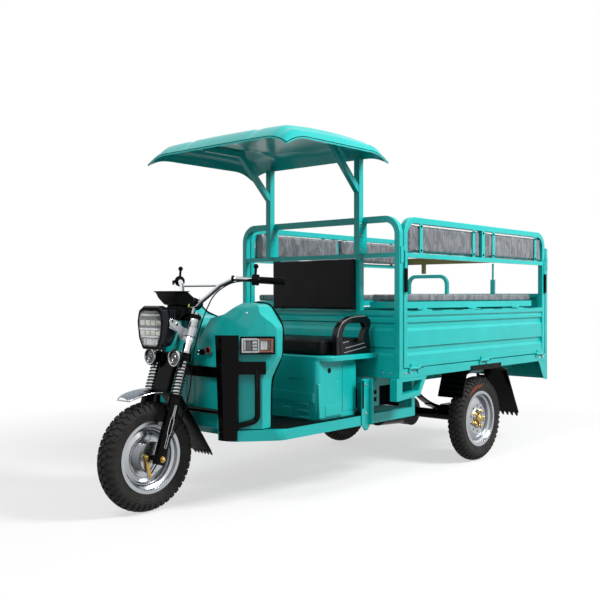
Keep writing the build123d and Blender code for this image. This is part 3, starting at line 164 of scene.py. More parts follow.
def add_floor():
    """A pale floor that runs on past the view; it keeps the vehicle's shadow."""
    reach = 30
    corners = [(-reach, -reach, 0), (reach, -reach, 0), (reach, reach, 0), (-reach, reach, 0)]
    mesh = bpy.data.meshes.new("floor")
    mesh.from_pydata(corners, [], [(0, 1, 2, 3)])
    floor = add_object("floor", mesh)
    material = bpy.data.materials.new("pale_floor")
    material.use_nodes = True
    tree = material.node_tree
    tree.nodes.remove(tree.nodes["Principled BSDF"])
    lit = add_node(tree, "BsdfDiffuse", Color=(0.2, 0.2, 0.2, 1))
    shaded = add_node(tree, "BsdfDiffuse", Color=(0.38, 0.38, 0.38, 1))
    glow = add_node(tree, "Emission", Strength=0.59)
    near = add_node(tree, "AddShader", {0: shaded.outputs[0], 1: glow.outputs[0]})
    white = add_node(tree, "Emission")
    place = add_node(tree, "TexCoord").outputs["Object"]
    distance = add_node(tree, "VectorMath", {0: place}, operation="LENGTH").outputs["Value"]
    fade = add_node(tree, "MapRange", {"Value": distance}, From_Min=1.8, From_Max=3.4)
    seen = add_node(tree, "MixShader", {0: fade.outputs[0], 1: near.outputs[0], 2: white.outputs[0]})
    mix = add_node(tree, "MixShader", {0: seen_rays(tree), 1: lit.outputs[0], 2: seen.outputs[0]})
    tree.links.new(mix.outputs[0], tree.nodes["Material Output"].inputs["Surface"])
    mesh.materials.append(material)


def add_stage():
    add_floor()
    add_world()
    add_light("key", (3.9, 1.3, 3.9), 1.8, 272)
    add_light("front", (0.6, -4.2, 4.6), 2.0, 90)
    bpy.context.scene.view_settings.view_transform = "Standard"


# ---------------------------------------------------------------- materials
def node_material(name, color, roughness, metallic=0.0, **sockets):
    """A material with its shader's plain values set; returns it with its tree and shader."""
    material = bpy.data.materials.new(name)
    material.use_nodes = True
    tree = material.node_tree
    shader = tree.nodes["Principled BSDF"]
    shader.inputs["Base Color"].default_value = (*color, 1)
    shader.inputs["Roughness"].default_value = roughness
    shader.inputs["Metallic"].default_value = metallic
    for socket, value in sockets.items():
        shader.inputs[socket.replace("_", " ")].default_value = value
    return material, tree, shader


def texture(tree, kind, scale, stretch=(1, 1, 1), **settings):
    """The grey of a procedural texture that lies in the object's own coordinates."""
    place = add_node(tree, "TexCoord").outputs["Object"]
    mapping = add_node(tree, "Mapping", {"Vector": place}, Scale=stretch).outputs["Vector"]
    return add_node(tree, f"Tex{kind}", {"Vector": mapping}, Scale=scale, **settings).outputs[0]


def vary(shader, socket, source, low, high, start=0.3, end=0.7):
    """Lets a texture's grey lead one of the shader's sockets from one colour to another."""
    tree = shader.id_data
    node = add_node(tree, "ValToRGB", {"Fac": source})
    for element, position, color in zip(node.color_ramp.elements, (start, end), (low, high)):
        element.position = position
        element.color = (*color, 1)
    tree.links.new(node.outputs["Color"], shader.inputs[socket])


def bump(shader, source, distance, strength=1.0):
    """Adds a texture's relief, in metres, on top of the relief that is there already."""
    tree = shader.id_data
    node = add_node(tree, "Bump", {"Height": source}, Strength=strength, Distance=distance)
    before = shader.inputs["Normal"].links
    if before:
        tree.links.new(before[0].from_socket, node.inputs["Normal"])
    tree.links.new(node.outputs["Normal"], shader.inputs["Normal"])


def teal_paint():
    """Smooth enamel over pressed steel: slight ripples, orange peel and uneven depth of colour."""
    material, tree, shader = node_material(
        "teal_paint", (0.006, 0.48, 0.46), 0.3,
        Specular_IOR_Level=0.22, Coat_Weight=0.25, Coat_Roughness=0.08,
    )
    cloud = texture(tree, "Noise", 5, Detail=5)
    vary(shader, "Base Color", cloud, (0.004, 0.455, 0.435), (0.008, 0.51, 0.49))
    bump(shader, texture(tree, "Noise", 380, Detail=2), 0.00012)
    bump(shader, texture(tree, "Noise", 7, Detail=1), 0.004, 0.4)
    return material


def plain(name, color, roughness, metallic=0.0, grain=500, depth=0.0001, **sockets):
    """A finish with fine grain, uneven gloss and a little unevenness in its colour."""
    material, tree, shader = node_material(name, color, roughness, metallic, **sockets)
    bump(shader, texture(tree, "Noise", grain, Detail=3), depth)
    smear = texture(tree, "Noise", 14, Detail=5)
    vary(shader, "Roughness", smear, (roughness * 0.75,) * 3, (roughness * 1.3,) * 3)
    patch = texture(tree, "Noise", 9, Detail=6)
    vary(shader, "Base Color", patch, [c * 0.8 for c in color], [min(1, c * 1.2) for c in color])
    return material


def metal_with_painted_reflection(name, roughness, under, over, start, end):
    """Plated metal with a painted reflection: faces that look down are painted with the dark of the ground,
    those that look up with the pale of the sky.
    """
    material, tree, shader = node_material(name, over, roughness, 1.0)
    facing = add_node(tree, "TexCoord").outputs["Normal"]
    upward = add_node(tree, "SeparateXYZ", {"Vector": facing}).outputs["Z"]
    painted_reflection_share = add_node(tree, "MapRange", {"Value": upward}, From_Min=-1.0).outputs["Result"]
    smudge = texture(tree, "Noise", 16, Detail=5)
    both = add_node(tree, "Mix", {"A": painted_reflection_share, "B": smudge}, Factor=0.12).outputs["Result"]
    # under is the painted reflection of the ground and over that of the sky, mixed a little with random
    # smudges.
    vary(shader, "Base Color", both, under, over, start, end)
    vary(shader, "Roughness", smudge, (roughness * 0.7,) * 3, (roughness * 1.4,) * 3)
    bump(shader, texture(tree, "Noise", 260, Detail=3), 0.00003)
    return material


def film_cover():
    """Grey vinyl under its clear wrapping film; the pale glossy streaks of its creases are painted into the
    colour as highlights.
    """
    material, tree, shader = node_material(
        "grey_cover", (0.1, 0.11, 0.13), 0.35,
        Coat_Weight=0.6, Coat_Roughness=0.1, Specular_IOR_Level=0.3,
    )
    fold = texture(tree, "Noise", 27, (1, 1, 0.45), Detail=6, Roughness=0.55, Distortion=0.7)
    # The pale end of this ramp is a painted highlight on the film's creases; the same noise gives their
    # relief.
    vary(shader, "Base Color", fold, (0.09, 0.1, 0.115), (0.27, 0.285, 0.31), 0.42, 0.76)
    bump(shader, fold, 0.012, 0.8)
    return material


def vinyl():
    """Black upholstery vinyl with a fine leather grain."""
    material, tree, shader = node_material(
        "black_vinyl", (0.006, 0.006, 0.007), 0.36, Specular_IOR_Level=0.1
    )
    bump(shader, texture(tree, "Voronoi", 420), 0.0005)
    soft = texture(tree, "Noise", 10, Detail=4)
    vary(shader, "Roughness", soft, (0.3,) * 3, (0.52,) * 3)
    return material


def tyre_rubber():
    """Matt rubber, a little dusty, with a fine grain."""
    material, tree, shader = node_material("tyre", (0.016,) * 3, 0.72, Specular_IOR_Level=0.25)
    dust = texture(tree, "Noise", 22, Detail=8, Roughness=0.7)
    vary(shader, "Base Color", dust, (0.008,) * 3, (0.034, 0.032, 0.03), 0.35, 0.75)
    bump(shader, texture(tree, "Noise", 420, Detail=3), 0.0004)
    return material


FINISHES = (
    teal_paint(),
    plain(
        "black_plastic", (0.0035, 0.0035, 0.004), 0.42,
        grain=900, depth=0.0003, Specular_IOR_Level=0.05,
    ),
    plain("black_paint", (0.002, 0.002, 0.0025), 0.16, Specular_IOR_Level=0.07, Coat_Weight=0.03),
    vinyl(),
    film_cover(),
    plain("khaki_paint", (0.13, 0.12, 0.03), 0.4),
    plain("clear_lens", (0.8, 0.82, 0.82), 0.08),
    plain("red_lens", (0.35, 0.01, 0.01), 0.15, Coat_Weight=0.6),
    # Chrome and silver carry a painted reflection: dark where they face down, pale where they face up.
    metal_with_painted_reflection("chrome", 0.07, (0.04, 0.045, 0.055), (0.78, 0.8, 0.83), 0.4, 0.7),
    metal_with_painted_reflection("silver_metal", 0.24, (0.13, 0.14, 0.16), (0.66, 0.68, 0.7), 0.2, 0.75),
    tyre_rubber(),
    plain("black_rubber", (0.003, 0.003, 0.003), 0.55, Specular_IOR_Level=0.06),
    # Brass carries the same painted reflection, dark below and bright above.
    metal_with_painted_reflection("brass", 0.28, (0.16, 0.09, 0.02), (0.68, 0.47, 0.15), 0.2, 0.7),
    plain("orange_mark", (0.5, 0.09, 0.02), 0.6),
    plain("amber_lens", (0.5, 0.12, 0.015), 0.15, Coat_Weight=0.6),
    plain("red_plastic", (0.5, 0.02, 0.02), 0.35),
    plain("grey_reflector", (0.66, 0.68, 0.69), 0.2, 0.3),
    plain("white_mark", (0.75, 0.75, 0.75), 0.5),
    plain("yellow_plug", (0.45, 0.6, 0.05), 0.4),
    plain("lamp_depths", (0.11, 0.115, 0.11), 0.25, Coat_Weight=0.5),
    # The blade's bluish upper colour is a painted reflection of the sky, its darker lower colour one of the
    # ground.
    metal_with_painted_reflection("blade_chrome", 0.16, (0.16, 0.19, 0.23), (0.4, 0.45, 0.52), 0.3, 0.9),
    plain("black_gloss", (0.004, 0.004, 0.005), 0.2, Specular_IOR_Level=0.28),
    # Pale grey for the armrests' ribs and bead: a painted highlight.
    plain("grey_painted_highlight", (0.2, 0.2, 0.21), 0.3),
    # Pale teal for the louvres' top edges: a painted highlight.
    plain("teal_painted_highlight", (0.05, 0.72, 0.68), 0.3),
    plain("lamp_dark", (0.012, 0.013, 0.014), 0.06, Specular_IOR_Level=0.6, Coat_Weight=0.6),
    plain("lamp_shell", (0.006, 0.007, 0.012), 0.22, Specular_IOR_Level=0.2),
    plain("lamp_chips", (0.55, 0.58, 0.42), 0.25, Coat_Weight=0.5),
    plain("pale_glass", (0.4, 0.42, 0.43), 0.12, Coat_Weight=0.8),
    plain(
        "clear_cover", (0.96, 0.98, 0.98), 0.03, depth=0.00002, Transmission_Weight=1.0, IOR=1.3
    ),
)
# Blender adds a number to a name that one of the frame's own materials has.
MATERIALS = {finish.name.partition(".")[0]: finish for finish in FINISHES}


def dress_nodes():
    """Gives every CAD node the full material of its slot."""
    for part in frame["record"]["subparts"]:
        node = NODES[part["node"]]
        for index in range(len(node.material_slots)):
            node.material_slots[index].material = MATERIALS[part["material_slot"]]


SOFT_EDGES = (
    (3, "guard"),
    (2.5, "front_hoop", "rear_posts", "floor_frame", "roof_posts"),
    (2, "seat_deck", "seat_box", "side_steps", "cargo_bed", "rear_fenders", "fork", "left_gate"),
    (2, "right_gate", "tailgate", "rails"),
    (1.5, "left_bench", "right_bench", "mud_flap"),
    (1, "hanging_brackets", "tail_panel"),
)


def add_bevel(piece, width, angle):
    """Rounds the edges that are sharper than an angle; the width is in millimetres."""
    edges = piece.modifiers.new("edges", "BEVEL")
    edges.width = width * MM
    edges.segments = 2
    edges.limit_method = "ANGLE"
    edges.angle_limit = math.radians(angle)
    return edges


def soften_edges():
    """Rounds the sharp edges of pressed and moulded nodes, so that they catch the light."""
    for width, *names in SOFT_EDGES:
        for name in names:
            NODES[name].modifiers.new("weld", "WELD").merge_threshold = 0.00001
            add_bevel(NODES[name], width, 38).harden_normals = True


# ---------------------------------------------------------------- mesh tools
def add_piece(name, shape, materials, body, crease=30, bevel=0.0):
    """Makes an object of a bmesh, which it frees, and lets it ride on a body."""
    mesh = bpy.data.meshes.new(name)
    bmesh.ops.recalc_face_normals(shape, faces=shape.faces)
    shape.to_mesh(mesh)
    shape.free()
    for material in materials:
        mesh.materials.append(MATERIALS[material])
    mesh.shade_smooth()
    mesh.set_sharp_from_angle(angle=math.radians(crease))
    piece = add_object(name, mesh)
    if bevel:
        add_bevel(piece, bevel, 40)
    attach(piece, body)
    return piece


def bridge(shape, rings, closed=True, index=0):
    """Fills the space between neighbouring rings, or rows, of vertices."""
    count = len(rings[0])
    for first, second in zip(rings, rings[1:]):
        for k in range(count if closed else count - 1):
            after = (k + 1) % count
            face = shape.faces.new((first[k], first[after], second[after], second[k]))
            face.material_index = index


def rect(left, low, right, high):
    """The outline of an upright rectangle."""
    return ((left, low), (right, low), (right, high), (left, high))


def add_prism(shape, outline, place, low, high, index=0, taper=1.0):
    """A slab whose outline is (u, v) points; place(u, v, w) says where they are."""
    middle = [sum(point[k] for point in outline) / len(outline) for k in range(2)]
    rings = []
    for depth, size in ((low, 1.0), (high, taper)):
        ring = []
        for point in outline:
            u, v = (middle[k] + (point[k] - middle[k]) * size for k in range(2))
            ring.append(shape.verts.new(place(u, v, depth)))
        rings.append(ring)
    for ring in rings:
        shape.faces.new(ring).material_index = index
    bridge(shape, rings, index=index)


def add_block(shape, low, high, place=at, index=0):
    """A block between two corners given in place's own coordinates."""
    add_prism(shape, rect(*low[:2], *high[:2]), place, low[2], high[2], index)


def add_lathe(shape, profile, centre, axis, steps=32, index=0, cap=True):
    """Turns (distance along the axis, radius) points round an axis; millimetres."""
    axis = Vector(axis).normalized()
    across = axis.orthogonal().normalized()
    other = axis.cross(across)
    rings = []
    for along, radius in profile:
        ring = []
        for k in range(steps):
            turn = 2 * math.pi * k / steps
            spoke = across * math.cos(turn) + other * math.sin(turn)
            ring.append(shape.verts.new(centre + axis * along * MM + spoke * radius * MM))
        rings.append(ring)
    bridge(shape, rings, index=index)
    if cap:
        for ring in (rings[0], rings[-1]):
            shape.faces.new(ring).material_index = index


def add_lathes(shape, centre, axis, *rows):
    """Several turned shapes on one axis; each row is the number of steps, then the profile."""
    for steps, *profile in rows:
        add_lathe(shape, profile, centre, axis, steps)


def add_bolts(name, places, axis, size, material, body):
    """Hexagon bolt heads with a washer and a slightly domed top."""
    shape = bmesh.new()
    washer = (24, (-1, size * 0.95), (1.2, size * 0.95), (1.3, size * 0.7))
    side, edge = size * 0.62, size * 0.5
    head = (6, (1, side), (edge, side), (side, edge), (size * 0.66, size * 0.15))
    for place in places:
        add_lathes(shape, place, axis, washer, head)
    return add_piece(name, shape, [material], body)


def add_tube(name, points, radius, material, body, smooth=True, cyclic=False):
    """A round bar along points: one smooth NURBS line, or straight runs."""
    data = bpy.data.curves.new(name, "CURVE")
    data.dimensions = "3D"
    data.bevel_depth = radius * MM
    data.bevel_resolution = 4
    data.use_fill_caps = True
    data.resolution_u = 3 if len(points) > 60 else 8
    line = data.splines.new("NURBS" if smooth else "POLY")
    line.points.add(len(points) - 1)
    for point, place in zip(line.points, points):
        point.co = (*place, 1)
    if smooth:
        line.order_u = 3
        line.use_endpoint_u = not cyclic
    line.use_cyclic_u = cyclic
    data.materials.append(MATERIALS[material])
    piece = add_object(name, data)
    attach(piece, body)
    return piece


# ---------------------------------------------------------------- tyres
TREAD_TOP = ((0, 250), (10, 249.2), (24, 245), (36, 237.5), (44, 229), (48, 216))
TREAD_FLOOR = ((0, 242), (10, 241.5), (23, 238), (34, 231), (40.5, 223), (44.5, 212))
TYRE_WALL = (
    (44.5, 212), (46.5, 206), (45.6, 203), (46.2, 196), (43.6, 184), (42.4, 182.5), (42.6, 179),
    (40.4, 172), (37, 166), (36, 152.5), (30, 152.5), (30, 165), (39, 186), (40, 206), (30, 226), (0, 234),
)
TREAD_PITCHES = 46
TYRE_STEPS = 112


def between(points, place):
    """The point this far along a list of points, counted in points."""
    low = min(int(place), len(points) - 2)
    part = place - low
    return tuple(points[low][k] * (1 - part) + points[low + 1][k] * part for k in range(2))


def add_lug(shape, centre, side, start, end, turn, width, skew):
    """One tread block, from start to end along the tread's section."""
    rings = []
    for step in range(4):
        place = start + (end - start) * step / 3
        lean = turn + skew * place
        ring = []
        for points, size in ((TREAD_FLOOR, 1.0), (TREAD_TOP, 0.8)):
            x, radius = between(points, place)
            edges = (lean - width * size / 2, lean + width * size / 2)
            for edge in edges if points is TREAD_FLOOR else reversed(edges):
                spoke = Vector((side * x, radius * math.sin(edge), radius * math.cos(edge)))
                ring.append(shape.verts.new(centre + spoke * MM))
        rings.append(ring)
    bridge(shape, rings)
    shape.faces.new(rings[0])
    shape.faces.new(rings[-1])


def tyre(name, node, body):
    """A carcass with moulded walls, and rows of tread blocks on it."""
    centre = middle_of(node)
    shape = bmesh.new()
    half = TREAD_FLOOR + TYRE_WALL[1:]
    section = half + tuple((-x, radius) for x, radius in reversed(half[1:-1]))
    rings = []
    for k in range(TYRE_STEPS):
        turn = 2 * math.pi * k / TYRE_STEPS
        ring = []
        for x, radius in section:
            spoke = Vector((x, radius * math.sin(turn), radius * math.cos(turn)))
            ring.append(shape.verts.new(centre + spoke * MM))
        rings.append(ring)
    bridge(shape, rings + rings[:1])
    pitch = 2 * math.pi / TREAD_PITCHES
    for k in range(TREAD_PITCHES):
        turn = pitch * k
        for side in (1, -1):
            shift = 0 if side > 0 else pitch / 2
            add_lug(shape, centre, side, 2.75, 4.95, turn + shift, pitch * 0.56, 0.0)
            add_lug(shape, centre, side, 1.25, 2.55, turn + shift + pitch / 2, pitch * 0.66, 0.012)
        add_lug(shape, centre, 1, 0.0, 1.0, turn, pitch * 0.7, 0.02)
        add_lug(shape, centre, -1, 0.0, 1.0, turn, pitch * 0.7, -0.02)
    piece = add_piece(name, shape, ["tyre"], body, 32)
    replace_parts(piece, node)


def add_tyres():
    for word in ("front", "rear_left", "rear_right"):
        tyre(f"{word}_tyre_tread", f"{word}_tyre", f"{word}_wheel")


# ---------------------------------------------------------------- cushions
def pad_mesh(name, low, high, inset, voxel):
    """A rounded block a little smaller than its space, as one even skin."""
    shape = bmesh.new()
    low = Vector(low) + Vector(inset) * MM
    high = Vector(high) - Vector(inset) * MM
    bmesh.ops.create_cube(shape, size=1)
    size = high - low
    middle = (high + low) / 2
    for vert in shape.verts:
        vert.co = Vector([middle[k] + vert.co[k] * size[k] for k in range(3)])
    bmesh.ops.bevel(
        shape, geom=list(shape.edges), offset=min(size) * 0.27, segments=3, profile=0.6, affect="EDGES"
    )
    mesh = bpy.data.meshes.new(name)
    shape.to_mesh(mesh)
    shape.free()
    piece = add_object(name, mesh)
    skin = piece.modifiers.new("skin", "REMESH")
    skin.mode = "VOXEL"
    skin.voxel_size = voxel * MM
    keep_modifiers(piece)
    return piece


def keep_modifiers(piece):
    """Makes a piece's modifiers part of its mesh."""
    graph = bpy.context.evaluated_depsgraph_get()
    mesh = bpy.data.meshes.new_from_object(piece.evaluated_get(graph))
    piece.modifiers.clear()
    piece.data = mesh


def vectors(mesh, kind):
    """The place (co) or the facing (normal) of every vertex, a row each."""
    values = np.empty(len(mesh.vertices) * 3)
    mesh.vertices.foreach_get(kind, values)
    return values.reshape(-1, 3)


def set_places(piece, places):
    piece.data.vertices.foreach_set("co", places.ravel())
    piece.data.update()


CLOTH_FRAMES = 20


def inflate(pads, pressure=4):
    """Blows up all the pads together with Cloth, then keeps each within its cap and its space."""
    before = {}
    for piece, cap, low, high in pads:
        before[piece.name] = vectors(piece.data, "co")
        cloth = piece.modifiers.new("cloth", "CLOTH")
        cloth.settings.use_pressure = True
        cloth.settings.uniform_pressure_force = pressure
        cloth.settings.effector_weights.gravity = 0
        cloth.settings.quality = 5
    scene = bpy.context.scene
    for step in range(1, CLOTH_FRAMES + 1):
        scene.frame_set(step)
    graph = bpy.context.evaluated_depsgraph_get()
    for piece, cap, low, high in pads:
        start = before[piece.name]
        move = vectors(piece.evaluated_get(graph).data, "co") - start
        length = np.linalg.norm(move, axis=1, keepdims=True)
        move *= np.minimum(1, cap * MM / np.maximum(length, 1e-9))
        places = np.clip(start + move, np.array(low), np.array(high))
        piece.modifiers.clear()
        set_places(piece, places)
    scene.frame_set(1)


WAVES = 9


def crumple(piece, along, across, depth, seed):
    """Presses folds into a pad: waves that run across it, uneven in spacing and lean."""
    chance = random.Random(seed)
    places = vectors(piece.data, "co")
    facing = vectors(piece.data, "normal")
    wave = np.zeros(len(places))
    for _ in range(WAVES):
        rate = chance.uniform(60, 260)
        lean = chance.uniform(-0.5, 0.5)
        phase = chance.uniform(0, 6.3)
        swell = np.sin(places[:, along] * rate / 9 + phase * 3)
        folds = np.sin(places[:, along] * rate + places[:, across] * rate * lean + phase)
        wave += folds * (0.5 + 0.5 * swell)
    places -= facing * ((wave / WAVES + 0.5) * depth * MM)[:, None]
    set_places(piece, places)


def groove(piece, axis, value, depth, width):
    """Sews a line into a pad where one coordinate has a value."""
    places = vectors(piece.data, "co")
    facing = vectors(piece.data, "normal")
    pull = depth * MM * np.exp(-(((places[:, axis] - value) / (width * MM)) ** 2))
    places -= facing * pull[:, None]
    set_places(piece, places)


def finish_pad(piece, material, body, node):
    piece.data.materials.clear()
    piece.data.materials.append(MATERIALS[material])
    piece.data.shade_smooth()
    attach(piece, body)
    if node:
        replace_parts(piece, node)


FRONT_REST_END, REAR_REST_START = 1991, 2034


def add_cushions():
    """The driver's seat and back pad in vinyl, and the film-wrapped cushions of the box."""
    plans = [
        ("driver_seat_cushion", *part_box("driver_seat"), (4, 4, 3), 7, 9, "driver_seat", "chassis", 0.7),
        ("backrest_cushion", *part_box("backrest_pad"), (-3, 2, -5), 6, 6, "backrest_pad", "chassis", 0.8),
    ]
    for _, word in SIDES:
        gate, bench = f"{word}_gate", f"{word}_bench"
        pad, rests = f"{word}_bench_pad", f"{word}_backrests"
        plans.append((f"{bench}_cushion", *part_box(pad), (-2, -2, 1), 6, 7, pad, bench, 0.5))
        low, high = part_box(rests)
        end = high[0], at(0, FRONT_REST_END, 0).y, high[2]
        start = low[0], at(0, REAR_REST_START, 0).y, low[2]
        plans.append((f"{word}_front_backrest", low, end, (5, -3, -7), 6, 9, rests, gate, 0.6))
        plans.append((f"{word}_rear_backrest", start, high, (5, -3, -7), 6, 9, None, gate, 0.6))
    pads = []
    for name, low, high, inset, voxel, cap, *_ in plans:
        voxel = voxel
        pads.append((pad_mesh(name, low, high, inset, voxel), cap, low, high))
    inflate(pads)
    for (piece, _, _, high), (name, *_, node, body, fill) in zip(pads, plans):
        material = "black_vinyl" if body == "chassis" else "grey_cover"
        if name == "driver_seat_cushion":
            groove(piece, 2, high[2] - 22 * MM, 2.5, 5)
        elif "bench" in name:
            crumple(piece, 1, 0, 3.0, name)
        elif "gate" in body:
            crumple(piece, 1, 2, 4.0, name)
        finish_pad(piece, material, body, node)


# ---------------------------------------------------------------- front end
RAKE = math.radians(18.5)
AXLE_UP = 250
LEG_OUT, LEG_FACE = 97, 117


def on_fork(x, y, up):
    """A place beside the raked fork legs: sideways, behind their axis, and up along them."""
    along = y * math.cos(RAKE) + up * math.sin(RAKE)
    return at(x, along, AXLE_UP - y * math.sin(RAKE) + up * math.cos(RAKE))


FORK_UP = Vector((0, math.sin(RAKE), math.cos(RAKE)))


def add_fork_trim():
    """Sleeves and collars on the upper legs, a line decal on the lower ones, lamp ears, nuts."""
    sleeves = bmesh.new()
    collars = bmesh.new()
    decal = bmesh.new()
    for side in (1, -1):
        foot = on_fork(LEG_OUT * side, 0, 0)
        add_lathes(
            sleeves, foot, FORK_UP,
            (40, (489, 23.4), (490, 25), (500, 25.6), (504, 24.2), (566, 24.2), (568, 23.2)),
            (40, (615, 23.2), (616, 24.2), (648, 24.2), (654, 23.3)),
            (6, (675, 15), (681, 15), (682, 13), (686, 13), (688, 9), (689, 2)),
        )
        add_lathes(
            collars, foot, FORK_UP,
            (40, (462.5, 27), (464, 29), (470, 29), (473, 27.5), (480, 27.5), (486, 29), (488, 27)),
            (40, (285, 33), (287, 35), (293, 35), (296, 31)),
        )

        def on_leg(y, up, out):
            return on_fork(side * LEG_FACE + side * out, y, up)

        for half, low, high in ((5, 52, 112), (10, 112, 186), (5, 186, 246)):
            for y in (-half, half):
                add_block(decal, (y - 0.9, low, 0.05), (y + 0.9, high, 0.5), on_leg)
            for up in (low, high):
                add_block(decal, (-half, up - 0.9, 0.05), (half, up + 0.9, 0.5), on_leg)
        add_block(decal, (-0.9, 196, 0.05), (0.9, 240, 0.5), on_leg)
    ears = bmesh.new()
    for side in (1, -1):
        beside = side_on(side)
        outline = (
            (164, 782), (166, 826), (140, 838), (112, 866), (70, 878), (62, 868), (66, 846), (104, 822),
            (132, 776),
        )
        add_prism(ears, outline, beside, 86.2, 90.2)
        for along, z in ((80, 866), (106, 850)):
            middle, out = beside(along, z, 0), (side, 0, 0)
            add_lathe(ears, ((90, 5.5), (91.5, 5.5), (91.6, 0.5)), middle, out, 20, 1)
            add_lathe(ears, ((90, 8), (91.2, 7.5), (91.3, 5.6)), middle, out, 24, 0, False)
    add_piece("lamp_ear_plates", ears, ["silver_metal", "black_rubber"], "steering", bevel=1)
    add_piece("fork_sleeves", sleeves, ["chrome"], "steering")
    add_piece("fork_collars", collars, ["black_rubber"], "steering")
    add_piece("fork_line_decal", decal, ["white_mark"], "steering")
    nuts = bmesh.new()
    for side in (1, -1):
        add_lathes(
            nuts, at(side * LEG_FACE, 0, AXLE_UP), (side, 0, 0),
            (28, (0, 14), (2.5, 14), (2.6, 11.5)),
            (6, (2, 11.5), (10, 11.5), (11.5, 10)),
            (20, (2, 8), (13, 8), (14.5, 6)),
        )
    add_piece("axle_nuts", nuts, ["brass"], "steering")


def add_brake_lever():
    """The cast brass lever on the brake plate, with its pivot and cable pin."""
    beside = side_on(1)
    shape = bmesh.new()
    outline = (
        (-54, 262), (-46, 270), (-30, 268), (-25, 256), (-29, 240), (-27, 214), (-20, 192),
        (-15, 170), (-22, 162), (-34, 166), (-36, 184), (-42, 206), (-45, 236),
    )
    add_prism(shape, outline, beside, 53.5, 62.5)
    add_lathe(shape, ((0, 10), (7, 10), (8.5, 8)), at(58, -38, 256), (1, 0, 0), 6)
    add_lathe(shape, ((-6, 5), (8, 5), (9, 4)), at(58, -26, 173), (1, 0, 0), 20)
    add_piece("brake_lever_brass", shape, ["brass"], "steering", bevel=1.5)


LAMP_LOW, LAMP_MIDDLE, LAMP_TOP = 750, 829, 912
LAMP_HALF = ((50, LAMP_LOW), (72, 790), (83, 859), (76, 898), (50, LAMP_TOP))


def add_headlight():
    """Rows of square lamp modules on a bright reflector, behind a clear cover with a dark rim."""
    outline = LAMP_HALF + tuple((-x, z) for x, z in reversed(LAMP_HALF))
    inside = bmesh.new()
    add_prism(inside, outline, front_on, 26.9, 26.2, 0, 0.99)
    for z, half in ((LAMP_MIDDLE, 76), (893, 64), (795, 62)):
        add_block(inside, (-half, z - 4, 24.0), (half, z + 4, 26.4), front_on, 1)
    for z, height in ((858, 22), (812, 20)):
        for k in range(4):
            x = -55.5 + 37 * k
            add_block(inside, (x - 15, z - height / 2, 25.0), (x + 15, z + height / 2, 26.4), front_on, 1)
            for dx in (-7.5, 7.5):
                chip = rect(x + dx - 5.5, z - height / 2 + 3, x + dx + 5.5, z + height / 2 - 3)
                add_prism(inside, chip, front_on, 25.2, 23.6, 2, 0.6)
    for k in range(5):
        x = -40 + 20 * k
        add_prism(inside, rect(x - 9, 757, x + 9, 786), front_on, 26.4, 23.2, 1, 0.45)
    materials = ["lamp_depths", "grey_reflector", "lamp_chips"]
    optics = add_piece("headlight_optics", inside, materials, "steering", 20)
    cover = bmesh.new()
    add_prism(cover, outline, front_on, 22.2, 20.8, 0, 0.97)
    lens = add_piece("headlight_cover", cover, ["clear_cover"], "steering")
    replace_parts(lens, "headlight_lens")
    rim = bmesh.new()
    rings = []
    for depth, grow in ((23, 0.0), (20.4, 0.5), (20.4, 7.0), (24, 8.2)):
        ring = []
        for x, z in outline:
            out = Vector((x, z - LAMP_MIDDLE)).normalized() * grow
            ring.append(rim.verts.new(front_on(x + out.x, z + out.y, depth)))
        rings.append(ring)
    bridge(rim, rings)
    add_piece("headlight_rim", rim, ["black_plastic"], "steering", 20)
    shell = bmesh.new()
    rings = []
    for depth, wide, low, top in (
        (23.6, 1.0, 742, 921), (24, 1.09, 737, 929), (34, 1.12, 735, 935), (56, 1.1, 736, 936),
        (66, 1.0, 744, 932), (104, 0.98, 752, 922), (136, 0.7, 780, 896),
    ):
        ring = []
        for x, z in outline:
            share = (z - LAMP_LOW) / (LAMP_TOP - LAMP_LOW)
            ring.append(shell.verts.new(front_on(x * wide, low + (top - low) * share, depth)))
        rings.append(ring)
    bridge(shell, rings[:2])
    bridge(shell, rings[1:], index=1)
    shell.faces.new(rings[-1])
    for depth in (72, 84, 96):
        for side in (1, -1):
            add_block(shell, (side * 70, 876, depth), (side * 84, 916, depth + 6), front_on, 1)
        add_block(shell, (-50, 918, depth), (50, 933 - 0.1 * depth, depth + 6), front_on, 1)
    housing = add_piece("headlight_shell", shell, ["black_plastic", "lamp_shell"], "steering", 25, bevel=1.2)
    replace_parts(housing, "headlight")


def add_fog_lamps():
    """Bright rings round domed lenses, each with a small projector in the middle."""
    rings = bmesh.new()
    glass = bmesh.new()
    cans = bmesh.new()
    forward = (0, -1, 0)
    for side in (1, -1):
        middle = at(88 * side, 92, 696)
        outer = ((-6, 31), (1.5, 31), (5, 33), (6, 36), (5, 39), (1, 41), (-6, 40))
        inner = ((-4, 12), (2, 12), (3.4, 13.2), (2, 14.6), (-4, 15))
        lens = ((-5, 31.2), (-2, 30), (-0.5, 24), (0, 17), (0.5, 12), (3.4, 8), (4.4, 3), (4.5, 0.4))
        can = ((-34, 20), (-26, 32), (-8, 39), (-2, 39.6), (-2, 31))
        add_lathe(rings, outer, middle, forward, 48, cap=False)
        add_lathe(rings, inner, middle, forward, 40, cap=False)
        add_lathe(glass, lens, middle, forward, 40)
        add_lathe(cans, can, middle, forward, 40)
        add_block(cans, (side * 20, 118, 676), (side * 92, 128, 716))
    add_piece("fog_rings", rings, ["chrome"], "steering")
    add_piece("fog_lenses", glass, ["lamp_dark"], "steering", 40)
    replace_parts(add_piece("fog_cans", cans, ["black_plastic"], "steering", 35), "fog_lamps")


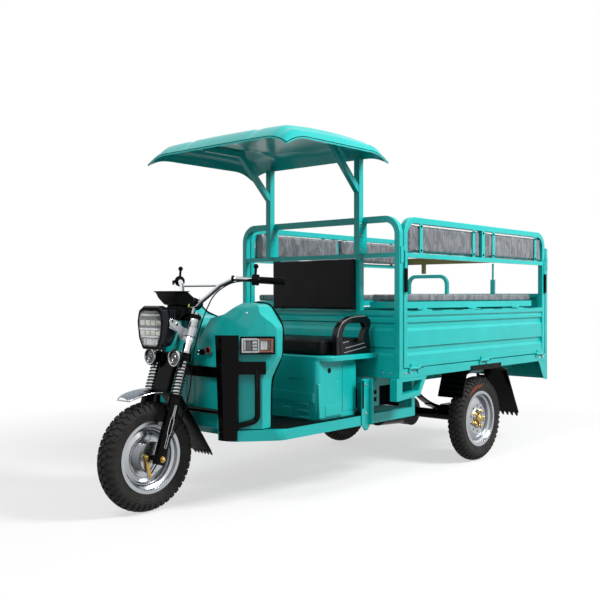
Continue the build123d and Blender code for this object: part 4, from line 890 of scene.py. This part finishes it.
def add_dash():
    """The peaked visor with its turned lip, a round instrument behind it, and a small plug."""
    pod = bmesh.new()
    rings = []
    for half, along, top, low in (
        (84, 112, 1003, 999), (80, 120, 1002, 972), (62, 144, 1001, 940), (78, 186, 1001, 934),
        (62, 236, 974, 928), (46, 262, 962, 936),
    ):
        tight = half * 0.82
        ring = [(-half, top - 5), (-tight, top), (tight, top), (half, top - 5), (tight, low), (-tight, low)]
        rings.append([pod.verts.new(at(x, along, z)) for x, z in ring])
    bridge(pod, rings)
    pod.faces.new(rings[0])
    pod.faces.new(rings[-1])
    add_prism(pod, ((-85, 108), (85, 108), (82, 190), (-82, 190)), at, 998.5, 1003.5, 0, 0.98)
    add_block(pod, (-46, 158, 884), (50, 224, 936))
    add_block(pod, (-30, 166, 866), (36, 200, 884))
    shell = add_piece("dash_shell", pod, ["black_plastic"], "steering", 40, bevel=3)
    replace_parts(shell, "dash")
    dial = bmesh.new()
    axis = Vector((0, 0.55, 0.83))
    middle = at(14, 284, 950)
    profile = ((-26, 30), (-12, 35), (0, 37), (5, 37), (7, 35), (5.6, 32.5), (4, 32), (3.6, 30))
    add_lathe(dial, profile, middle, axis, 48)
    add_piece("instrument_ring", dial, ["black_plastic"], "steering")
    face = bmesh.new()
    add_lathe(face, ((3.7, 30), (4.4, 29), (4.6, 12), (5.6, 4), (5.7, 0.5)), middle, axis, 40)
    add_piece("instrument_face", face, ["pale_glass"], "steering")
    plug = bmesh.new()
    add_block(plug, (56, 196, 928), (63, 204, 944))
    add_block(plug, (57, 197.5, 944), (62, 202.5, 950))
    add_piece("wire_plug", plug, ["yellow_plug"], "steering", bevel=1)


STEERING_WIRES = (
    ("wire_upper", 1.3, "white_mark", (110, 226, 974), (98, 236, 950), (84, 226, 928), (62, 208, 926)),
    ("wire_lower", 2.4, "black_rubber", (60, 206, 924), (70, 200, 890), (84, 176, 858), (86, 160, 826)),
    ("wire_lamp", 2.6, "black_rubber", (40, 196, 926), (52, 170, 900), (62, 150, 880), (58, 136, 862)),
)


def add_steering_wires():
    """A thin pale wire and two black ones beside the lamp."""
    for name, radius, material, *points in STEERING_WIRES:
        add_tube(name, [at(*point) for point in points], radius, material, "steering")


COWL_EDGE = (
    (364, 442, 368), (364, 442, 470), (364, 444, 548), (366, 452, 604), (392, 466, 664), (406, 479, 720),
    (406, 481, 790), (403, 481, 838), (384, 481, 872), (344, 481, 918), (318, 481, 941), (262, 481, 947),
    (208, 481, 950), (172, 481, 932), (140, 481, 906), (104, 481, 892), (34, 481, 872),
)


def add_cowl_trim():
    """The leg shield's edging, screws and apron, the ringed lock and the charging knob."""
    for side, word in SIDES:
        points = [at(x * side, along, z) for x, along, z in COWL_EDGE]
        add_tube(f"{word}_cowl_edging", points, 4.6, "black_rubber", "chassis")
    slope = Vector((0, -0.9, 0.42)).normalized()
    screws = bmesh.new()
    for side in (1, -1):
        add_lathe(screws, ((-3, 6), (1.4, 6), (2.4, 4), (2.6, 0.5)), at(side * 268, 376, 900), slope, 24)
    add_piece("cowl_screws", screws, ["chrome"], "chassis")
    apron = bmesh.new()
    add_prism(apron, rect(-46, 426, 46, 742), front_on, 270, 267)
    add_prism(apron, rect(-28, 434, 28, 730), front_on, 267, 265, 0, 0.95)

    def toe(x, z, out):
        return at(x, 268 + (440 - z) * 0.28 + out, z)

    add_prism(apron, rect(-236, 359, 236, 440), toe, 3, 0)
    add_prism(apron, rect(-220, 372, 220, 386), toe, 1, -2, 0, 0.99)
    add_piece("cowl_apron", apron, ["teal_paint"], "chassis", bevel=1)
    lock = bmesh.new()
    forward = (0, -1, 0)
    middle = at(124, 262, 726)
    add_lathe(lock, ((-4, 17), (0.6, 17), (2, 14.5), (1, 12), (-4, 11)), middle, forward, 36, 0, False)
    add_lathe(lock, ((-4, 11.2), (0.8, 10), (1.6, 7), (1.8, 0.5)), middle, forward, 36, 1)
    add_piece("ringed_lock", lock, ["red_plastic", "black_plastic"], "chassis")
    knob = bmesh.new()
    middle = at(88, 262, 716)
    add_lathe(knob, ((-3, 15), (7, 14), (11, 12), (12, 3)), middle, forward, 36)
    add_block(knob, (60, 248, 711), (90, 256, 721))
    add_piece("charge_knob", knob, ["black_plastic"], "chassis", bevel=1)


COWL_CORNER = Vector((246, 258))
COWL_WING = Vector((376, 396))
COWL_BACK = Vector((405, 426))


# A turn signal's blocks: start, low, inner, stop, high, outer; then slot, pieces and taper.
# A start or stop below zero counts from the lamp's rear end.
TURN_SIGNAL = (
    (70, 713, 1, -2, 793, 9, 0, 9),
    (70, 712, 1, -1, 719, 18.5, 0, 9),
    (70, 787, 1, -1, 794, 18.5, 0, 9),
    (70, 713, 1, 76, 793, 18.5),
    (-7, 713, 1, -1, 793, 18.5),
    (77, 719.5, 9, 150, 728, 15.5, 1, 3, 0.98),
    (77, 777, 9, 150, 786.5, 15.5, 1, 3, 0.98),
    (77, 727, 9, 85, 778, 15.5, 1),
    (88, 731, 9, 95, 774, 12, 1, 1, 0.9),
    (98, 731, 9, 122, 774, 14, 3, 1, 0.9),
    (126, 731, 9, 148, 743, 13.5, 1, 1, 0.9),
    (126, 746, 9, 148, 758, 13.5, 1, 1, 0.9),
    (126, 761, 9, 148, 773, 13.5, 1, 1, 0.9),
    (151, 722, 9, 158, 784, 14.5, 1),
    (160, 722, 9, -10, 729, 14.5, 2, 5),
    (160, 777, 9, -10, 784, 14.5, 2, 5),
    (-20, 729, 9, -10, 777, 14.5, 2),
    (163, 732, 9, -36, 774, 13, 1, 2, 0.92),
    (-33, 732, 9, -23, 774, 12, 3, 1, 0.9),
)
TURN_SIGNAL_COVER = (76, 719, 16.2, -7, 787, 17.6, 0, 12)
BEND = 14


def add_turn_signals():
    """Wrapped lamps: a dark bezel, bright blocks behind a clear front, and an amber rear end."""
    wing = (COWL_WING - COWL_CORNER).length
    along_wing = (COWL_WING - COWL_CORNER).normalized()
    along_back = (COWL_BACK - COWL_WING).normalized()
    end = wing + (COWL_BACK - COWL_WING).length
    for side, word in SIDES:

        def wrapped(s, z, out):
            if s < wing:
                base = COWL_CORNER + along_wing * s
            else:
                base = COWL_WING + along_back * (s - wing)
            bend = min(1, max(0, (s - wing + BEND) / (2 * BEND)))
            facing = along_wing.lerp(along_back, bend).normalized()
            place = base + Vector((facing.y, -facing.x)) * out
            return at(side * place.x, place.y, z)

        def strip(shape, start, low, inner, stop, high, outer, index=0, pieces=1, taper=1.0):
            start, stop = (value if value > 0 else end + value for value in (start, stop))
            for k in range(pieces):
                first = start + (stop - start) * k / pieces
                last = start + (stop - start) * (k + 1) / pieces
                add_prism(shape, rect(first, low, last, high), wrapped, inner, outer, index, taper)

        shape = bmesh.new()
        for block in TURN_SIGNAL:
            strip(shape, *block)
        materials = ["black_plastic", "grey_reflector", "amber_lens", "lamp_depths"]
        lamp = add_piece(f"{word}_turn_signal", shape, materials, "chassis", 25)
        cover = bmesh.new()
        strip(cover, *TURN_SIGNAL_COVER)
        lens = add_piece(f"{word}_turn_signal_cover", cover, ["clear_cover"], "chassis", 25)
        if side > 0:
            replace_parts(lamp, "turn_signals")


def add_flap_teeth():
    """The front mud flap's serrated lower edge."""
    shape = bmesh.new()
    for k in range(6):
        x = -70 + 23.3 * k
        outline = ((x + 0.5, 0), (x + 22.5, 0), (x + 17, -27), (x + 12, -27))

        def on_flap(u, v, out):
            return at(u, 328 - 0.55 * v + out * 0.8, 236 + v * 0.83 + out * 0.5)

        add_prism(shape, outline, on_flap, 0, 5)
    add_piece("front_flap_teeth", shape, ["black_rubber"], "steering")


# ---------------------------------------------------------------- wheels, underside and box
def ring_of(centre, count, radius, start=0.0):
    """Places evenly round a wheel's axle."""
    for k in range(count):
        turn = 2 * math.pi * (k + start) / count
        yield centre + Vector((0, math.cos(turn), math.sin(turn))) * radius * MM


def add_rear_hubs():
    """Brass hub caps, a ring of studs and nuts, the discs' holes, and the tyres' coloured arc."""
    for side, word in SIDES:
        body = f"rear_{word}_wheel"
        centre = middle_of(f"rear_{word}_tyre")
        axis = Vector((side, 0, 0))
        cap = bmesh.new()
        profile = (
            (18, 33), (20, 33), (21, 31), (36, 28.5), (40, 27), (43, 24), (44, 15), (46, 13), (47.5, 9),
            (48, 1),
        )
        add_lathe(cap, profile, centre, axis, 40)
        add_piece(f"{word}_hub_cap", cap, ["brass"], body)
        nuts = bmesh.new()
        for place in ring_of(centre, 5, 46):
            add_lathes(
                nuts, place, axis,
                (24, (18, 14.5), (20.5, 14.5), (21, 12.6)),
                (6, (20, 12.4), (31, 12.4), (33, 10.4)),
                (16, (20, 6.5), (39, 6.5), (40.5, 5)),
            )
        add_piece(f"{word}_hub_nuts", nuts, ["brass"], body)
        web = bmesh.new()
        for place in ring_of(centre, 10, 76, 0.5):
            add_lathe(web, ((17.6, 7.6), (19, 7.2), (19.2, 5.6)), place, axis, 20, 0, False)
            add_lathe(web, ((18.2, 5.8), (18.6, 5.6), (18.7, 0.5)), place, axis, 20, 1)
        add_lathe(web, ((17.4, 62), (20, 60), (22, 56), (20, 52), (18.2, 50)), centre, axis, 48, 0, False)
        add_piece(f"{word}_web_holes", web, ["silver_metal", "black_rubber"], body)
        arc = bmesh.new()
        rows = []
        for k in range(13):
            turn = math.radians(48 + 46 * k / 12)
            thin = math.sin(math.pi * (k + 0.6) / 13.2) ** 0.4
            row = []
            for x, radius in ((45.2, 196 - 8 * thin), (46.6, 196), (46.9, 196 + 8 * thin)):
                spoke = Vector((side * x, -radius * math.cos(turn), radius * math.sin(turn)))
                row.append(arc.verts.new(centre + spoke * MM))
            rows.append(row)
        bridge(arc, rows, False)
        bmesh.ops.solidify(arc, geom=list(arc.faces), thickness=0.0012)
        add_piece(f"{word}_tyre_arc", arc, ["orange_mark"], body, 60)


def add_front_wheel_trim():
    """Rolled rings pressed into both faces of the front disc."""
    centre = middle_of("front_tyre")
    for side, word in SIDES:
        shape = bmesh.new()
        reach = 6.2 if side > 0 else 0.4
        low, high = reach - 1.5, reach + 1.4
        for radius, wide in ((126, 3), (96, 2.4)):
            outer, inner = radius + wide, radius - wide
            profile = ((low, outer), (high, radius + wide / 2), (high, radius - wide / 2), (low, inner))
            add_lathe(shape, profile, centre, (side, 0, 0), 72, 0, False)
        add_piece(f"front_disc_rings_{word}", shape, ["silver_metal"], "front_wheel", 40)


REAR_AXLE = 2030


def add_rear_guard_trim():
    """Toothed lower edges, pressed ribs and bolts on the rear mudguards."""
    for side, word in SIDES:

        def on_skirt(u, v, out):
            along = REAR_AXLE + 414 - 0.53 * v + 0.84 * out
            return at(side * u, along, 246 + 0.84 * v + 0.53 * out)

        def at_axle(u, v, z):
            return at(side * u, REAR_AXLE + v, z)

        shape = bmesh.new()
        for k in range(5):
            x = 422 + 32 * k
            outline = ((x + 1, 3), (x + 30, 3), (x + 20, -30), (x + 12, -30))
            add_prism(shape, outline, on_skirt, -1, 5)
        for k in range(4):
            z = 480 - 34 * k
            reach = 255 + (552 - 22 - z) * 0.574
            add_prism(shape, rect(430, reach - 2, 575, reach + 6), at_axle, z - 4, z + 4)
        for k in range(5):
            z = 520 - 30 * k
            reach = -214 - (530 - z) * 0.364
            add_prism(shape, rect(430, reach - 6, 575, reach + 2), at_axle, z - 4, z + 4)
        add_piece(f"{word}_guard_ribs", shape, ["black_rubber"], "chassis", bevel=1)
        places = [at_axle(585, along, 562) for along in (-148, -20, 60, 180)]
        add_bolts(f"{word}_guard_bolts", places, (side, 0, 0), 6, "black_paint", "chassis")


BOX_FACE, BRACKET_FACE = 581, 436.4


def add_box_bolts():
    """Bolts of the bed, the roof posts, the brackets and the gates' cushion straps."""
    front = (0, -1, 0)
    places = [at(side * x, 1162, 578) for side in (1, -1) for x in (476, 520)]
    add_bolts("bed_front_bolts", places, front, 8, "silver_metal", "chassis")
    for side, word in SIDES:
        outside = side_on(side)
        bed = [(along, 577) for along in (1214, 1262, 2740, 2790)]
        straps = [(along, z) for along in (1362, 1904, 2134, 2680) for z in (1222, 1350)]
        for name, out, size, material, body, spots in (
            ("bed_bolts", BOX_FACE, 8, "silver_metal", "chassis", bed),
            ("post_bolts", 346, 8, "silver_metal", "chassis", [(1144, z) for z in (1362, 1222, 1300)]),
            ("bracket_bolts", 436.3, 8, "silver_metal", "chassis", [(1068, 374), (1068, 520)]),
            ("strap_screws", BOX_FACE, 7, "black_paint", f"{word}_gate", straps),
            ("mullion_screws", BOX_FACE, 7, "black_paint", f"{word}_gate", [(2012, 1222), (2012, 1350)]),
        ):
            places = [outside(along, z, out) for along, z in spots]
            add_bolts(f"{word}_{name}", places, (side, 0, 0), size, material, body)


def add_box_details():
    """Hinge hooks, rail slots, the brackets' strips, side plates, hatches and stay sockets."""
    for side, word in SIDES:
        outside = side_on(side)
        hooks = bmesh.new()
        for place in (1335, 2055, 2680):
            outline = (
                (place - 26, 606), (place - 14, 616), (place, 612), (place + 30, 612), (place + 52, 603),
                (place + 30, 606), (place + 6, 605), (place - 8, 607),
            )
            add_prism(hooks, outline, outside, BOX_FACE, BOX_FACE + 9)
        add_piece(f"{word}_hinge_hooks", hooks, ["teal_paint"], f"{word}_gate", bevel=1)
        slots = bmesh.new()
        for start in (1250, 1470, 1690, 1910, 2130, 2350, 2570):
            add_prism(slots, rect(start, 901, start + 96, 903.4), outside, BOX_FACE - 2, BOX_FACE + 0.4)
        add_piece(f"{word}_rail_slots", slots, ["black_rubber"], f"{word}_gate")
        strip = bmesh.new()
        add_prism(strip, rect(1038, 400, 1046, 545), outside, BRACKET_FACE, 441)
        foot = ((1052, 300), (1092, 300), (1082, 288), (1062, 288))
        add_prism(strip, foot, outside, BRACKET_FACE, 439, 1)
        add_piece(f"{word}_bracket_strip", strip, ["black_rubber", "teal_paint"], "chassis", bevel=1)
        plate = bmesh.new()
        add_prism(plate, rect(1150, 396, 1232, 512), outside, 396, 399)
        add_prism(plate, ((1150, 512), (1232, 512), (1200, 551), (1164, 551)), outside, 396, 399)
        for z in (431, 469):
            add_prism(plate, rect(1184, z - 11, 1208, z + 11), outside, 398.6, 399.6, 1)
            add_prism(plate, rect(1181, z - 14, 1211, z + 14), outside, 398.4, 399.3)
        add_piece(f"{word}_controller_plate", plate, ["teal_paint", "black_rubber"], "chassis")
        hatch = bmesh.new()

        def leaning(along, z, out):
            return at(side * (out + (552 - z) * 0.045), along, z)

        add_prism(hatch, ((744, 373), (922, 373), (922, 552), (744, 546)), leaning, 380, 390.5, 0, 0.975)
        add_prism(hatch, rect(786, 380, 914, 434), leaning, 390, 394.5, 0, 0.93)
        add_prism(hatch, rect(934, 392, 1044, 636), outside, 387, 389.4, 0, 0.985)
        lock = ((386, 14), (392.6, 14), (393.4, 12), (392, 9), (391, 0.5))
        add_lathe(hatch, lock, outside(827, 608, 0), (side, 0, 0), 28, 1)
        add_piece(f"{word}_box_hatch", hatch, ["teal_paint", "black_rubber"], "chassis", 25, bevel=1)
        socket = bmesh.new()
        add_lathe(socket, ((0, 8), (2, 9), (90, 9), (94, 7)), at(side * 349, 2655, 640), (0, 0, 1), 20)
        add_piece(f"{word}_stay_socket", socket, ["black_paint"], f"{word}_legs")


def add_bar_trim():
    """Ribs round the grips and the clips that hold the cables to the handlebar."""
    for side, word in SIDES:
        end = at(side * 382, 512, 1048)
        bend = at(side * 200, 362, 1062)
        inward = (bend - end).normalized()
        ribs = bmesh.new()
        for k in range(13):
            start = 9 + 8 * k
            rib = ((start, 15.6), (start + 0.8, 17.4), (start + 3.4, 17.4), (start + 4.2, 15.6))
            add_lathe(ribs, rib, end, inward, 28, 0, False)
        add_lathe(ribs, ((-4, 9), (-3, 14), (1, 18.4), (6, 18.4), (7, 15.6)), end, inward, 28)
        add_piece(f"{word}_grip_ribs", ribs, ["black_rubber"], "steering", 40)
        clips = bmesh.new()
        add_lathe(clips, ((-6, 13), (-5, 15), (5, 15), (6, 13)), bend + inward * 8 * MM, inward, 28)
        add_piece(f"{word}_bar_clips", clips, ["black_plastic"], "steering")


BLADE_RADIUS, BLADE_HALF, BLADE_CROWN = 309, 67, 15
BLADE_STEPS = 24


def add_fender():
    """The crowned bright blade over the tyre, with a rounded nose and rolled edges."""
    blade = bmesh.new()
    rows = []
    edges = {1: [], -1: []}
    for k in range(BLADE_STEPS + 1):
        turn = math.radians(66.5 + 49 * k / BLADE_STEPS)
        nose = max(0, (k - 17) / 7)
        half = BLADE_HALF * math.sqrt(max(0.0, 1 - 0.62 * nose ** 2))
        row = []
        for step in range(-6, 7):
            x = half * step / 6
            radius = BLADE_RADIUS - BLADE_CROWN * abs(step / 6) ** 2.6
            place = at(x, radius * math.cos(turn), AXLE_UP + radius * math.sin(turn))
            row.append(blade.verts.new(place))
            if abs(step) == 6:
                edges[step // 6].append(place)
        rows.append(row)
    bridge(blade, rows, False)
    bmesh.ops.solidify(blade, geom=list(blade.faces), thickness=0.003)
    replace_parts(add_piece("fender_blade", blade, ["blade_chrome"], "steering", 50), "front_fender")
    points = edges[1] + edges[-1][::-1]
    add_tube("fender_roll", points, 3.2, "chrome", "steering", False)


def add_springs():
    """Dark coils round bright dampers, between the fork's collars and its lower legs."""
    tubes = bmesh.new()
    for side, word in SIDES:
        foot = on_fork(LEG_OUT * side, 0, 0)
        add_lathe(tubes, ((284, 17), (285, 18.5), (460, 18.5), (461, 17)), foot, FORK_UP, 36)
        points = []
        steps, coils, radius = 14, 11, 23.6
        for k in range(coils * steps + 1):
            turn = 2 * math.pi * k / steps
            x = LEG_OUT * side + radius * math.cos(turn)
            points.append(on_fork(x, radius * math.sin(turn), 291 + 165 * k / (coils * steps)))
        add_tube(f"{word}_fork_coil", points, 3.6, "black_gloss", "steering")
    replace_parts(add_piece("fork_dampers", tubes, ["chrome"], "steering"), "fork_springs")


ARM_INNER, ARM_OUTER = 384, 417
ARM_OUTLINE = (
    (856, 682), (856, 781), (871, 822), (908, 855), (966, 874), (1091, 880), (1131, 856),
    (1136, 830), (1118, 796), (1127, 750), (1135, 682),
)
ARM_HOLE = (
    (902, 746), (905, 790), (926, 829), (956, 842), (1082, 840), (1094, 816), (1070, 776), (1064, 742),
)
# The line of a pale bead along the loop's top edge: a painted highlight.
ARM_HIGHLIGHT_BEAD = ((860, 772), (874, 820), (910, 852), (966, 870), (1040, 875), (1088, 876))


def add_armrests():
    """The moulded loops at the ends of the seat, with ridges under their openings; the pale grey of three
    ribs and of a bead along each loop's top edge is a painted highlight.
    """
    arms = bmesh.new()
    for side in (1, -1):
        loops = []
        for outline in (ARM_OUTLINE, ARM_HOLE):
            loop = [arms.verts.new(at(side * ARM_INNER, along, z)) for along, z in outline]
            loops += [arms.edges.new((loop[k], loop[(k + 1) % len(loop)])) for k in range(len(loop))]
        made = bmesh.ops.triangle_fill(arms, edges=loops, use_beauty=True)
        faces = [item for item in made["geom"] if isinstance(item, bmesh.types.BMFace)]
        grown = bmesh.ops.extrude_face_region(arms, geom=faces)
        for item in grown["geom"]:
            if isinstance(item, bmesh.types.BMVert):
                item.co.x = side * ARM_OUTER * MM
        outside = side_on(side)
        # The three ribs are pale grey: a painted highlight.
        for low, start, reach in ((690, 912, 1092), (713, 922, 1080), (741, 902, 950)):
            rise = (reach - start) * 0.13
            rib = ((start, low), (reach, low + rise), (reach, low + rise + 5), (start - 3, low + 5))
            add_prism(arms, rib, outside, ARM_OUTER - 1, ARM_OUTER + 4, 1)
        ridge = ((888, 690), (894, 690), (884, 752), (878, 752))
        add_prism(arms, ridge, outside, ARM_OUTER - 1, ARM_OUTER + 3.5)
    loops = add_piece("armrest_loops", arms, ["black_gloss", "grey_painted_highlight"], "chassis", bevel=3)
    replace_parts(loops, "armrests")
    # A pale grey bead along each loop's top edge: a painted highlight.
    for side, word in SIDES:
        points = [at(side * ARM_OUTER, along, z) for along, z in ARM_HIGHLIGHT_BEAD]
        add_tube(f"{word}_armrest_highlight_bead", points, 2.6, "grey_painted_highlight", "chassis")


SEAT_BOX_FACE = 740


def add_seat_box_relief():
    """The pressed band, pad and louvres on the front of the seat box; a pale teal strip on each louvre's top
    edge is a painted highlight.
    """
    shape = bmesh.new()
    add_prism(shape, rect(-372, 452, 372, 500), front_on, SEAT_BOX_FACE, SEAT_BOX_FACE - 8, 0, 0.985)
    for side in (1, -1):
        pad = rect(side * 158, 366, side * 216, 424)
        add_prism(shape, pad, front_on, SEAT_BOX_FACE, SEAT_BOX_FACE - 7, 0, 0.9)
        for low, start, stop in ((436, 250, 334), (400, 258, 334), (368, 266, 340)):
            louvre = rect(side * start, low, side * stop, low + 12)
            add_prism(shape, louvre, front_on, SEAT_BOX_FACE, SEAT_BOX_FACE - 9, 0, 0.92)
            # A pale teal strip along each louvre's top edge: a painted highlight.
            edge = rect(side * start, low + 9, side * stop, low + 13)
            add_prism(shape, edge, front_on, SEAT_BOX_FACE - 4, SEAT_BOX_FACE - 10, 1)
    add_piece("seat_box_relief", shape, ["teal_paint", "teal_painted_highlight"], "chassis", bevel=1.5)


def add_underbody():
    """The controller's case under the front of the bed, its straps, and the bed's ribs."""
    case = bmesh.new()
    add_block(case, (-230, 1206, 372), (300, 1484, 545))
    add_block(case, (-244, 1196, 520), (314, 1494, 532))
    for k in range(9):
        x = -200 + 58 * k
        add_block(case, (x, 1199, 392), (x + 12, 1206, 508))
    for k in range(5):
        along = 1236 + 52 * k
        add_block(case, (300, along, 392), (306, along + 14, 508))
    add_piece("controller_case", case, ["black_plastic"], "chassis", bevel=2)
    straps = bmesh.new()
    for x in (-150, 220):
        for start, stop, top in ((1192, 1498, 372), (1192, 1196, 552), (1494, 1498, 552)):
            add_block(straps, (x, start, 368), (x + 24, stop, top))
    add_piece("controller_straps", straps, ["black_paint"], "chassis")
    ribs = bmesh.new()
    for k in range(9):
        x = -480 + 120 * k
        add_prism(ribs, rect(x - 16, 1206, x + 16, 2808), at, 599.6, 603, 0, 0.99)
    add_piece("bed_ribs", ribs, ["teal_paint"], "chassis", 25)


TAIL_FACE = 2879


def add_tail_lamps():
    """Amber, red and clear segments behind the lamps' bezels."""
    for side, word in SIDES:

        def behind(x, z, along):
            return at(side * x, along, z)

        shape = bmesh.new()
        for start, stop, index in ((404, 440, 2), (443, 516, 1), (519, 556, 3)):
            box = rect(start, 450, stop, 504)
            add_prism(shape, box, behind, TAIL_FACE, TAIL_FACE + 5, index, 0.94)
            for z in (462, 474, 486, 498):
                line = rect(start + 4, z - 1, stop - 4, z + 1)
                add_prism(shape, line, behind, TAIL_FACE + 4.5, TAIL_FACE + 6, index)
        rims = rect(400, 444, 560, 448), rect(400, 506, 560, 510)
        rims += rect(400, 444, 404, 510), rect(556, 444, 560, 510)
        for rim in rims:
            add_prism(shape, rim, behind, TAIL_FACE, TAIL_FACE + 7)
        materials = ["black_plastic", "red_lens", "amber_lens", "pale_glass"]
        add_piece(f"{word}_tail_segments", shape, materials, "chassis", 25)


ROOF_HALF, ROOF_FRONT, ROOF_LONG = 503, 400, 770


def add_roof_edging():
    """The dark edging that runs round the pressed roof's lip."""

    def lip(reach):
        share = min(1, max(0, reach / 140))
        return 1673 + 42 * (1 - (1 - share) ** 2)

    points = []
    for side, end in ((1, 1168), (-1, 402)):
        for k in range(23):
            along = ROOF_LONG * k / 22
            if side < 0:
                along = ROOF_LONG - along
            z = lip(min(along, ROOF_LONG - along)) + 2
            points.append(at(ROOF_HALF * side, ROOF_FRONT + along, z))
        for k in range(1, 24):
            x = side * (ROOF_HALF - 2 * ROOF_HALF * k / 24)
            points.append(at(x, end, lip(505 - abs(x)) + 2))
    add_tube("roof_edging", points, 2.4, "black_rubber", "chassis", False, True)


add_camera()
add_stage()
dress_nodes()
soften_edges()
add_tyres()
add_cushions()
add_fork_trim()
add_brake_lever()
add_headlight()
add_fog_lamps()
add_dash()
add_springs()
add_bar_trim()
add_fender()
add_steering_wires()
add_cowl_trim()
add_turn_signals()
add_flap_teeth()
add_front_wheel_trim()
add_rear_hubs()
add_rear_guard_trim()
add_box_bolts()
add_box_details()
add_armrests()
add_seat_box_relief()
add_underbody()
add_tail_lamps()
add_roof_edging()
